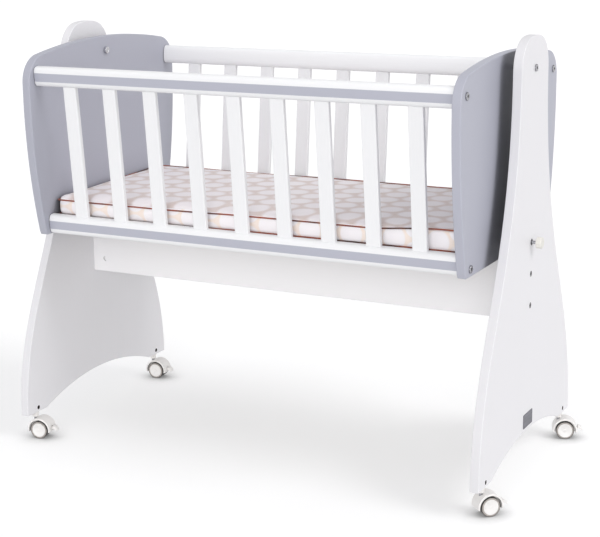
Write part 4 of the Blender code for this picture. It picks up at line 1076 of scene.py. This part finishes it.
def make_wheels():
    length = WHEEL_SET_WIDTH - 6 * TYRE_STEP
    spindle = rod("axle", AXLE_RADIUS, length, AXLE_PLACE @ TO_Y[1], ["steel"])
    copy_to_casters(spindle, "wheels", "steel")
    for label, side in (("a", -1), ("b", 1)):
        place = AXLE_PLACE @ TO_Y[side]
        tyre = lathe("tyre_" + label, tyre_profile(), place, ["tyre"], WHEEL_ROUND)
        band = lathe("tyre_band_" + label, band_profile(), place, ["tyre_band"], WHEEL_ROUND)
        disc = lathe("disc_" + label, disc_profile(), place, ["disc_plastic"], DISC_ROUND)
        copy_to_casters(tyre, "wheels", "grey_wheel", whole=True)
        copy_to_casters(band, "wheels", "grey_wheel")
        copy_to_casters(disc, "wheels", "grey_wheel")


def lever_pivot():
    x = CASTER_TRAIL + LEVER_PIVOT_RADIUS * math.cos(LEVER_PIVOT_ANGLE)
    z = AXLE_HEIGHT + LEVER_PIVOT_RADIUS * math.sin(LEVER_PIVOT_ANGLE)
    return x, z


def hood_cuts():
    """The slot for the lever, and the bores for the stem and the axle."""
    pivot_x, pivot_z = lever_pivot()
    start = pivot_x - LEVER_ROOT_RADIUS - SEAT
    end = CASTER_TRAIL + HOOD_RADIUS + OVERRUN
    bottom = AXLE_HEIGHT - AXLE_BOSS_DROP - OVERRUN
    top = pivot_z + LEVER_ARM_THICKNESS / 2 + LEVER_SLOT_ROOM
    slot_size = (end - start, LEVER_ARM_WIDTH + 2 * SEAT, top - bottom)
    depth = HOOD_RADIUS + STEM_DEPTH_BELOW_AXLE
    stem_place = at(0, 0, AXLE_HEIGHT + HOOD_RADIUS + (OVERRUN - depth) / 2)
    return [
        block("slot", slot_size, at((start + end) / 2, 0, (bottom + top) / 2)),
        rod("stem_bore", STEM_RADIUS + SEAT, depth + OVERRUN, stem_place),
        rod("axle_bore", AXLE_RADIUS + SEAT, WEB_THICKNESS + 2 * OVERRUN, AXLE_PLACE @ TO_Y[1]),
    ]


def make_hood():
    """A half-round cover with a short skirt, on a middle web that holds axle, stem and lever."""
    outline = arc((0, 0), HOOD_RADIUS, -HOOD_SKIRT_ANGLE, math.pi + HOOD_SKIRT_ANGLE, 3 * FINE_ARC)
    hood = prism("cover", outline, WHEEL_SET_WIDTH, AXLE_PLACE @ SIDE_VIEW, ["hood_plastic"])
    round_edges(hood, HOOD_EDGE_ROUND, CORNER_STEPS)
    room = (WHEEL_SET_WIDTH - WEB_THICKNESS) / 2 + OVERRUN
    cuts = []
    for side in (-1, 1):
        spot = at(CASTER_TRAIL, side * (WEB_THICKNESS + room) / 2, AXLE_HEIGHT) @ TO_Y[1]
        cuts.append(rod("cavity", HOOD_RADIUS - HOOD_WALL, room, spot, (), CAVITY_ROUND))
    carve(hood, cuts)
    start = -BOSS_RADIUS
    end = CASTER_TRAIL + AXLE_RADIUS + BOSS_RADIUS / 2
    boss_size = (end - start, WEB_THICKNESS - SEAT, 2 * AXLE_BOSS_DROP)
    boss = block("axle_boss", boss_size, at((start + end) / 2, 0, AXLE_HEIGHT))
    round_edges(boss, HEAD_ROUND)
    carve(hood, [boss], "UNION")
    carve(hood, hood_cuts())
    even_shading(hood)
    copy_to_casters(hood, "hood", "white_plastic", whole=True)


# The lever's tab seen from the side: how far out from its start, and how high over the pivot
LEVER_SHAPE = [
    (0, 0.0042),
    (0.0026, 0.0046),
    (0.0056, 0.0036),
    (0.0082, 0.0012),
    (0.0098, -0.0020),
    (0.0104, -0.0050),
    (0.0094, -0.0058),
    (0.0078, -0.0040),
    (0.0060, -0.0021),
    (0.0032, -0.0013),
    (0, -0.0014),
]


def make_brake():
    """The foot lever: an arm on a cross pin, and a ribbed tab that bends down at its tip."""
    pivot_x, pivot_z = lever_pivot()
    tab_start = CASTER_TRAIL + HOOD_RADIUS + LEVER_TAB_GAP
    outline = [(tab_start + x, z) for x, z in reversed(LEVER_SHAPE)]
    tab = prism("lever", outline, LEVER_TAB_WIDTH, at(0, 0, pivot_z) @ SIDE_VIEW, ["hood_plastic"])
    round_edges(tab, HEAD_ROUND / 2, CHAMFER_STEPS)
    arm_end = tab_start + LEVER_TAB_THICKNESS
    arm_size = (arm_end - pivot_x, LEVER_ARM_WIDTH, LEVER_TAB_THICKNESS - 2 * SEAT)
    cross = at(pivot_x, 0, pivot_z) @ TO_Y[1]
    arm = block("arm", arm_size, at((arm_end + pivot_x) / 2, 0, pivot_z))
    root = rod("root", LEVER_ROOT_RADIUS, LEVER_ARM_WIDTH - SEAT, cross)
    pin = rod("pin", LEVER_PIN_RADIUS, WEB_THICKNESS, cross)
    for piece in (arm, root, pin):
        carve(tab, [piece], "UNION")
    groove_size = (HEAD_ROUND, LEVER_TAB_WIDTH - 4 * HEAD_ROUND, HEAD_ROUND)
    grooves = []
    for i in range(1, 4):
        x = tab_start + LEVER_TAB_LENGTH * i / 6
        grooves.append(block("groove", groove_size, at(x, 0, pivot_z + LEVER_ROOT_RADIUS)))
    carve(tab, grooves)
    copy_to_casters(tab, "brake", "white_plastic", whole=True)


def make_stem():
    """The steel pin that the hood swivels on, its plastic collar under the foot, and its barrel nut."""
    shank_bottom = AXLE_HEIGHT - STEM_DEPTH_BELOW_AXLE + SEAT
    profile = [(0, BARREL_NUT_Z), (STEM_RADIUS, BARREL_NUT_Z), (STEM_RADIUS, shank_bottom), (0, shank_bottom)]
    copy_to_casters(lathe("pin", profile, None, ["steel"]), "stem", "steel", whole=True)
    collar_top = COLLAR_BOTTOM + COLLAR_HEIGHT
    collar_round = 2 * HEAD_ROUND
    waist = COLLAR_RADIUS - HEAD_ROUND
    collar = [(0, collar_top)]
    collar += arc((waist, collar_top - HEAD_ROUND), HEAD_ROUND, QUARTER, 0, TIGHT_STEPS)
    collar += [(COLLAR_RADIUS, collar_top - collar_round), (waist, collar_top - 2 * collar_round)]
    collar += [(waist, COLLAR_BOTTOM), (0, COLLAR_BOTTOM)]
    copy_to_casters(lathe("collar", collar, None, ["hood_plastic"]), "stem", "white_plastic")
    half = BOARD_THICKNESS / 2 - BARREL_NUT_SINK
    place = at(0, 0, BARREL_NUT_Z) @ TO_X[1]
    profile = chamfered_profile(BARREL_NUT_RADIUS, half, HEAD_ROUND / 2)
    # Near-black, partly painted shade down its bore
    nut = lathe("barrel_nut", profile, place, ["dark_steel_and_hole_shade"])
    slot_size = (2 * BARREL_NUT_RADIUS, HEAD_ROUND, HEAD_ROUND)
    carve(nut, [block("slot", slot_size, place @ at(0, 0, z)) for z in (-half, half)])
    copy_to_casters(nut, "stem", "steel")


# The basket

PANEL_FOOT_CORNER = 0.004
RAIL_SECTION_POINTS = 72
STRIPE_STEPS = 8
STRIPE_HIGH = STRIPE_WIDTH / 2 - STRIPE_DROP
STRIPE_LOW = -STRIPE_WIDTH / 2 - STRIPE_DROP


def panel_outline():
    top = crowned_top(PANEL_HALF_WIDTH, PANEL_TOP, PANEL_CROWN_RADIUS, PANEL_SHOULDER_RADIUS)
    start = top[-1][1] - PANEL_SIDE_STRAIGHT
    drop = start - PANEL_BOTTOM
    draw = PANEL_HALF_WIDTH - PANEL_FOOT_HALF_WIDTH
    radius = (drop**2 + draw**2) / (2 * draw)
    side = arc((PANEL_HALF_WIDTH - radius, start), radius, 0, -math.asin(drop / radius), FINE_SIDE)
    x, z = side[-1]
    corner = (x - PANEL_FOOT_CORNER, z + PANEL_FOOT_CORNER)
    foot = arc(corner, PANEL_FOOT_CORNER, 0, -QUARTER, WIDE_STEPS)
    body = [point for point in side if point[1] > corner[1]]
    return mirrored_outline(top + body + foot)


def make_end_panels():
    for side_name, side in SIDES.items():
        node = "end_panel_" + side_name
        place = at(side * (PANEL_INNER_X + BOARD_THICKNESS / 2), 0, 0) @ TO_YZ
        board = prism(node + "_board", panel_outline(), BOARD_THICKNESS, place, ["shaded_grey_panel_" + side_name])
        round_edges(board, PANEL_EDGE_ROUND, TIGHT_STEPS)
        even_shading(board)
        keep(board, "basket", "grey_paint", node)


def rail_face(y):
    """Where the outer face of a rail's section lies, at a height over its middle."""
    return -RAIL_THICKNESS / 2 * (1 - abs(y / (RAIL_HEIGHT / 2)) ** RAIL_ROUNDNESS) ** (1 / RAIL_ROUNDNESS)


def rail_section(striped):
    """A pillow-shaped section, up along Y; a striped rail has a shallow groove in its -X face."""
    points = []
    for i in range(RAIL_SECTION_POINTS):
        turn = 2 * math.pi * i / RAIL_SECTION_POINTS
        across, up = math.cos(turn), math.sin(turn)
        x = math.copysign(abs(across) ** (2 / RAIL_ROUNDNESS), across) * RAIL_THICKNESS / 2
        y = math.copysign(abs(up) ** (2 / RAIL_ROUNDNESS), up) * RAIL_HEIGHT / 2
        points.append((x, y))
    if not striped:
        return points
    groove = [(rail_face(STRIPE_HIGH), STRIPE_HIGH)]
    for i in range(STRIPE_STEPS + 1):
        y = STRIPE_HIGH + (STRIPE_LOW - STRIPE_HIGH) * i / STRIPE_STEPS
        groove.append((rail_face(y) + STRIPE_GROOVE, y))
    groove.append((rail_face(STRIPE_LOW), STRIPE_LOW))
    half = RAIL_SECTION_POINTS // 2
    above = [point for point in points[:half] if point[0] > 0 or point[1] > STRIPE_HIGH]
    below = [point for point in points[half:] if point[0] > 0 or point[1] < STRIPE_LOW]
    return above + groove + below


def make_rail(end_name, level_name, side_place):
    striped = end_name == "front"
    node = "rail_" + end_name + "_" + level_name
    length = INSIDE_LENGTH - 2 * SEAT
    paints = ["white_rail", "grey_stripe"]
    rail = prism(node + "_wood", rail_section(striped), length, None, paints, RAIL_END_ROUND)
    if striped:
        for face in rail.data.polygons:
            middle = face.center
            inside = STRIPE_LOW < middle.y < STRIPE_HIGH and middle.x < -RAIL_THICKNESS / 3
            if inside and abs(face.normal.z) < 1 / 2:
                face.material_index = 1
    rail.data.transform(side_place @ at(0, 0, LEVELS[level_name] * RAIL_SPACING / 2) @ TO_YZ)
    shade(rail)
    keep(rail, "basket", "white_paint", node)


def make_sides():
    """Each side leans outwards, so it is drawn upright in a frame of its own and then tilted."""
    length = RAIL_SPACING - RAIL_HEIGHT + 2 * (MORTISE_DEPTH - SEAT)
    outline = rounded_rectangle(SLAT_WIDTH, SLAT_THICKNESS, SLAT_EDGE_RADIUS)
    for end_name, end in ENDS.items():
        middle = at(0, end * (TOP_RAIL_Y + BOTTOM_RAIL_Y) / 2, (TOP_RAIL_Z + BOTTOM_RAIL_Z) / 2)
        place = middle @ turned(-end * SIDE_SLOPE, "X")
        for level_name in LEVELS:
            make_rail(end_name, level_name, place)
        for number in range(1, SLAT_COUNT + 1):
            x = SLAT_PITCH * (number - (SLAT_COUNT + 1) / 2)
            node = "slat_" + end_name + "_" + str(number)
            slat = prism(node + "_wood", outline, length, place @ at(x, 0, 0), ["white_slat"])
            even_shading(slat)
            keep(slat, "basket", "white_paint", node)


def make_rail_bolts():
    head = (RAIL_HEAD_RADIUS, RAIL_HEAD_HEIGHT)
    shank = (RAIL_BOLT_RADIUS, BOARD_THICKNESS + RAIL_BOLT_REACH)
    centres = {"top": (TOP_RAIL_Y, TOP_RAIL_Z), "bottom": (BOTTOM_RAIL_Y, BOTTOM_RAIL_Z)}
    for side_name, side in SIDES.items():
        for end_name, end in ENDS.items():
            for level_name, (rail_y, rail_z) in centres.items():
                shift = RAIL_BOLT_SHIFTS[level_name]
                y = rail_y + shift * math.sin(SIDE_SLOPE)
                z = rail_z + shift * math.cos(SIDE_SLOPE)
                node = "rail_bolt_" + side_name + "_" + end_name + "_" + level_name
                place = at(side * (PANEL_OUTER_X + SEAT), end * y, z) @ TO_X[side]
                make_bolt(node, "basket", place, head, shank, "steel")


# The mattress: a soft closed form with a seam round its top and bottom edges, and piping on both seams

MATTRESS_LENGTH = 0.8935
MATTRESS_WIDTH = 0.403
MATTRESS_CORNER = 0.008
MATTRESS_BOTTOM = BASE_TOP + SEAT
MATTRESS_TOP = 0.5235
LOWER_SEAM_RISE = 0.0050
UPPER_SEAM_RISE = 0.0352
LOWER_SEAM = BASE_TOP + LOWER_SEAM_RISE
UPPER_SEAM = BASE_TOP + UPPER_SEAM_RISE
EDGE_ROUND = 0.010
SIDE_BULGE = 0.0012
BACK_SEAM_LIFT = 0.0066
BACK_CORNER_LIFT = 0.0046
UPPER_SEAM_SAG = 0.0028
LOWER_SEAM_SAG = 0.0034
FRONT_CORNER_LIFT = 0.0094
LIFT_START = 0.25
LIFT_END = 0.41
SAG_START = 0.0
SAG_END = -0.20
PIPING_RADIUS = 0.0015
PIPING_WAVE = 0.0004
PIPING_WAVE_SCALE = 18
PIPING_POINTS = 480
COVER_POINTS = 240
MATTRESS_VOXEL = 0.006
CLOTH_PRESSURE = 4
CLOTH_STIFFNESS = 40
CLOTH_FRAMES = 20
CLOTH_CAP = 0.004
SMOOTH_ROUNDS = 4
RIPPLE = 0.0005
FINE_RIPPLE_SCALE = 30
BROAD_RIPPLE_SCALE = 9


def plan_point(turn_share, inset=0.0):
    """A point of the mattress's plan, a rectangle with round corners, at a share of the way round."""
    half = (MATTRESS_LENGTH / 2 - MATTRESS_CORNER, MATTRESS_WIDTH / 2 - MATTRESS_CORNER)
    bend = QUARTER * MATTRESS_CORNER
    distance = turn_share % 1 * 4 * (bend + half[0] + half[1])
    for number, signs in enumerate(CORNERS):
        straight = 2 * half[number % 2]
        if distance <= bend + straight:
            break
        distance -= bend + straight
    radius = MATTRESS_CORNER - inset
    turn = QUARTER * (number + min(1, distance / bend))
    run = max(0, distance - bend)
    x = signs[0] * half[0] + radius * math.cos(turn) - run * math.sin(turn)
    y = signs[1] * half[1] + radius * math.sin(turn) + run * math.cos(turn)
    return x, y


def mattress_rings():
    """Insets and heights of the mattress's side, from its lower face up to its top."""
    rings = [(EDGE_ROUND, MATTRESS_BOTTOM), (EDGE_ROUND / 4, MATTRESS_BOTTOM + SIDE_BULGE)]
    rings += [(0, LOWER_SEAM), (0, (LOWER_SEAM + UPPER_SEAM) / 2), (0, UPPER_SEAM)]
    rise = MATTRESS_TOP - UPPER_SEAM
    for i in range(1, TIGHT_STEPS + 1):
        turn = QUARTER * i / TIGHT_STEPS
        rings.append((EDGE_ROUND * (1 - math.cos(turn)), UPPER_SEAM + rise * math.sin(turn)))
    return rings


def eased(value):
    """A value held between 0 and 1, with a soft start and a soft end."""
    share = min(1, max(0, value))
    return share * share * (3 - 2 * share)


def carried(value, low, high, to_low, to_high):
    """The place that a value has in one range, in another range."""
    return to_low + (value - low) * (to_high - to_low) / (high - low)


def lifted(x, y, height):
    """A height of the mattress's side, moved with the seams.

    Both seams hang a little lower at the left. The slats push the upper one up at the back, most in the left
    corner, and it is drawn up at the right end of the front.
    """
    sag = eased((SAG_START - x) / (SAG_START - SAG_END))
    back = eased(y / MATTRESS_WIDTH + 1 / 2)
    leftness = min(1, max(0, 1 / 4 - x / MATTRESS_LENGTH))
    back_lift = back * (BACK_SEAM_LIFT + BACK_CORNER_LIFT * leftness * math.sqrt(leftness))
    front_lift = (1 - back) * FRONT_CORNER_LIFT * eased((x - LIFT_START) / (LIFT_END - LIFT_START))
    lower = LOWER_SEAM - LOWER_SEAM_SAG * sag
    upper = UPPER_SEAM - UPPER_SEAM_SAG * sag + back_lift + front_lift
    if height <= LOWER_SEAM:
        return carried(height, MATTRESS_BOTTOM, LOWER_SEAM, MATTRESS_BOTTOM, lower)
    if height <= UPPER_SEAM:
        return carried(height, LOWER_SEAM, UPPER_SEAM, lower, upper)
    return carried(height, UPPER_SEAM, MATTRESS_TOP, upper, MATTRESS_TOP)


def mattress_shell():
    """The plain closed form that the cloth starts from."""
    bm = bmesh.new()
    rings = []
    for inset, height in mattress_rings():
        points = [plan_point(i / COVER_POINTS, inset) for i in range(COVER_POINTS)]
        rings.append([bm.verts.new((x, y, lifted(x, y, height))) for x, y in points])
    join_rings(bm, rings)
    bm.faces.new(list(reversed(rings[0])))
    bm.faces.new(rings[-1])
    return new_object("mattress_cover", bm, ["cotton"])


def on_rim(point):
    """True beside the mattress's side wall."""
    to_end = MATTRESS_LENGTH / 2 - abs(point.x)
    to_side = MATTRESS_WIDTH / 2 - abs(point.y)
    return min(to_end, to_side) < EDGE_ROUND / 2 or max(to_end, to_side) < MATTRESS_CORNER


def inflate(pad):
    """Let the cover swell a little between its seams and its rigid base, with each point's travel capped."""
    rest = [v.co.copy() for v in pad.data.vertices]
    pinned = pad.vertex_groups.new(name="pinned")
    for vert in pad.data.vertices:
        seams = [lifted(vert.co.x, vert.co.y, height) for height in (LOWER_SEAM, UPPER_SEAM)]
        near_seam = min(abs(vert.co.z - seam) for seam in seams) < MATTRESS_VOXEL * 2 / 3
        if near_seam and on_rim(vert.co) or vert.co.z < LOWER_SEAM:
            pinned.add([vert.index], 1.0, "REPLACE")
    cloth = pad.modifiers.new("cloth", "CLOTH")
    cloth.settings.vertex_group_mass = pinned.name
    cloth.settings.use_pressure = True
    cloth.settings.uniform_pressure_force = CLOTH_PRESSURE
    cloth.settings.tension_stiffness = CLOTH_STIFFNESS
    cloth.settings.compression_stiffness = CLOTH_STIFFNESS
    cloth.settings.effector_weights.gravity = 0
    cloth.point_cache.frame_start = 1
    cloth.point_cache.frame_end = CLOTH_FRAMES
    scene = bpy.context.scene
    for number in range(1, CLOTH_FRAMES + 1):
        scene.frame_set(number)
    bake(pad)
    scene.frame_set(1)
    for vert, start in zip(pad.data.vertices, rest):
        travel = vert.co - start
        if travel.length > WELD:
            vert.co = start + travel.normalized() * CLOTH_CAP * math.tanh(travel.length / CLOTH_CAP)


def make_piping(label, height):
    """The slightly wavy sewn edge along a seam."""
    points = []
    for i in range(PIPING_POINTS):
        x, y = plan_point(i / PIPING_POINTS, -PIPING_RADIUS / 2)
        wave = PIPING_WAVE * noise.noise(Vector((x, y, 0)) * PIPING_WAVE_SCALE)
        points.append((x, y, lifted(x, y, height) + wave))
    keep(tube("mattress_piping_" + label, points, PIPING_RADIUS, ["piping"]), "basket", "cotton")


def make_mattress():
    pad = mattress_shell()
    modify(pad, "remesh", "REMESH", mode="VOXEL", voxel_size=MATTRESS_VOXEL)
    bake(pad)
    inflate(pad)
    modify(pad, "smooth", "SMOOTH", iterations=SMOOTH_ROUNDS, factor=1 / 2)
    modify(pad, "finer", "SUBSURF", levels=1, render_levels=1)
    bake(pad)
    for vert in pad.data.vertices:
        if vert.co.z > LOWER_SEAM:
            ripple = noise.noise(vert.co * FINE_RIPPLE_SCALE) / 2 + noise.noise(vert.co * BROAD_RIPPLE_SCALE)
            vert.co.z += RIPPLE * ripple * min(1, (vert.co.z - LOWER_SEAM) / (UPPER_SEAM - LOWER_SEAM))
    shade(pad, math.pi)
    keep(pad, "basket", "cotton", "mattress")
    make_piping("upper", UPPER_SEAM)
    make_piping("lower", LOWER_SEAM)


def dress_base_board():
    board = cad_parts["base_board"]
    board.data.materials.clear()
    board.data.materials.append(MATERIALS["hardboard"])


# Camera, light and floor

CAMERA_PLACE = (1.4099, -2.7547, 1.1101)
CAMERA_AZIMUTH = math.radians(26.843)
CAMERA_ELEVATION = math.radians(12.398)
CAMERA_ROLL = math.radians(-0.507)
CAMERA_REACH = 200
FOCAL_PIXELS = 1530.75
PICTURE_WIDTH = 600
PICTURE_HEIGHT = 537
CENTRE_PIXEL = (300.65, 238.9)
SENSOR_WIDTH = 36
FLOOR_SIZE = 120
FLOOR_DROP = 0.0002
FLOOR_SHADE = (0.80, 0.80, 0.80)
FLOOR_ROUGHNESS = 0.9
FLOOR_MOTTLE = (0.8, 2)
FLOOR_MOTTLE_SHARE = 0.998
FLOOR_GLOW = 0.262
# Painted contact shadow on the floor: its reach, the openness it fades over, and its darkest share
CONTACT_SHADOW_REACH = 0.045
CONTACT_OPEN_SHARES = (0.2, 1.0)
CONTACT_SHADOW_SHARE = 0.42
SKY_HORIZON = 1.02
SKY_ZENITH = 0.60
SKY_BELOW = 0.64
SKY_EDGE = -0.03
SKY_TINT = (0.985, 0.985, 1.0)

# Each sun's azimuth from the front towards the right, its height and its spread, in degrees, and its power
SUNS = {"fill": (14, 8, 40, 1.38), "key": (86, 43, 26, 0.88)}


def direction(azimuth, elevation):
    """A unit vector away from the cradle: azimuth from the front towards the right."""
    level = math.cos(elevation)
    return Vector((math.sin(azimuth) * level, -math.cos(azimuth) * level, math.sin(elevation)))


def make_camera():
    data = bpy.data.cameras.new("camera")
    camera = add_object("camera", data)
    bpy.context.scene.camera = camera
    data.sensor_fit = "HORIZONTAL"
    data.sensor_width = SENSOR_WIDTH
    data.lens = FOCAL_PIXELS / PICTURE_WIDTH * SENSOR_WIDTH
    data.shift_x = (PICTURE_WIDTH / 2 - CENTRE_PIXEL[0]) / PICTURE_WIDTH
    data.shift_y = (CENTRE_PIXEL[1] - PICTURE_HEIGHT / 2) / PICTURE_WIDTH
    data.clip_end = CAMERA_REACH
    back = direction(CAMERA_AZIMUTH, CAMERA_ELEVATION)
    right = (-back).cross(Vector((0, 0, 1))).normalized()
    up = back.cross(right)
    rolled_right = right * math.cos(CAMERA_ROLL) + up * math.sin(CAMERA_ROLL)
    rolled_up = up * math.cos(CAMERA_ROLL) - right * math.sin(CAMERA_ROLL)
    turn = Matrix((rolled_right, rolled_up, back)).transposed().to_4x4()
    camera.matrix_world = Matrix.Translation(CAMERA_PLACE) @ turn


def make_floor():
    """A pale matt floor that throws no light back up, with a soft painted contact shadow where something
    stands on it.
    """
    bm = bmesh.new()
    bmesh.ops.create_grid(bm, x_segments=1, y_segments=1, size=FLOOR_SIZE / 2)
    bmesh.ops.translate(bm, vec=(0, 0, -FLOOR_DROP), verts=bm.verts)
    paint = Paint("floor", FLOOR_SHADE, FLOOR_ROUGHNESS, Emission_Color=(1, 1, 1))
    darker = scaled(FLOOR_SHADE, FLOOR_MOTTLE_SHARE)
    mottled = paint.mix("RGBA", paint.noise(*FLOOR_MOTTLE), darker, FLOOR_SHADE)
    # Painted shadow: the colour and the glow darken where something stands close by
    shading = paint.remap(paint.openness(CONTACT_SHADOW_REACH), *CONTACT_OPEN_SHARES, CONTACT_SHADOW_SHARE, 1)
    paint.link(paint.dimmed(mottled, shading), "Base Color")
    paint.link(paint.math("MULTIPLY", shading, FLOOR_GLOW), "Emission Strength")
    floor = new_object("floor", bm, ["floor"])
    floor.visible_diffuse = False


def make_sky():
    """Soft light from all round, brightest near the horizon and, past the floor's edge, just under it."""
    world = bpy.data.worlds.new("studio")
    bpy.context.scene.world = world
    world.use_nodes = True
    sky = Nodes(world.node_tree)
    height = sky.split(sky.coords["Generated"])["Z"]
    above = sky.remap(height, 0, 1, SKY_HORIZON, SKY_ZENITH)
    is_above = sky.math("GREATER_THAN", height, SKY_EDGE)
    background = world.node_tree.nodes["Background"]
    sky.feed(background.inputs["Color"], SKY_TINT)
    sky.feed(background.inputs["Strength"], sky.mix("FLOAT", is_above, SKY_BELOW, above))


def make_lights():
    make_sky()
    for name, (azimuth, elevation, spread, power) in SUNS.items():
        data = bpy.data.lights.new(name, "SUN")
        data.energy = power
        data.angle = math.radians(spread)
        light = add_object(name, data)
        light.rotation_mode = "QUATERNION"
        source = direction(math.radians(azimuth), math.radians(elevation))
        light.rotation_quaternion = (-source).to_track_quat("-Z", "Y")
    view = bpy.context.scene.view_settings
    view.view_transform = "Standard"
    view.look = "None"
    view.exposure = 0
    view.gamma = 1


def main():
    make_materials()
    make_camera()
    make_lights()
    make_floor()
    for side_name in SIDES:
        make_upright(side_name)
    make_stretcher()
    make_stretcher_bolts()
    make_pivot_bolts()
    make_plate()
    make_lock_pin()
    make_lock_bush()
    make_stem()
    make_hood()
    make_wheels()
    make_brake()
    make_end_panels()
    make_sides()
    make_rail_bolts()
    make_mattress()
    dress_base_board()


main()
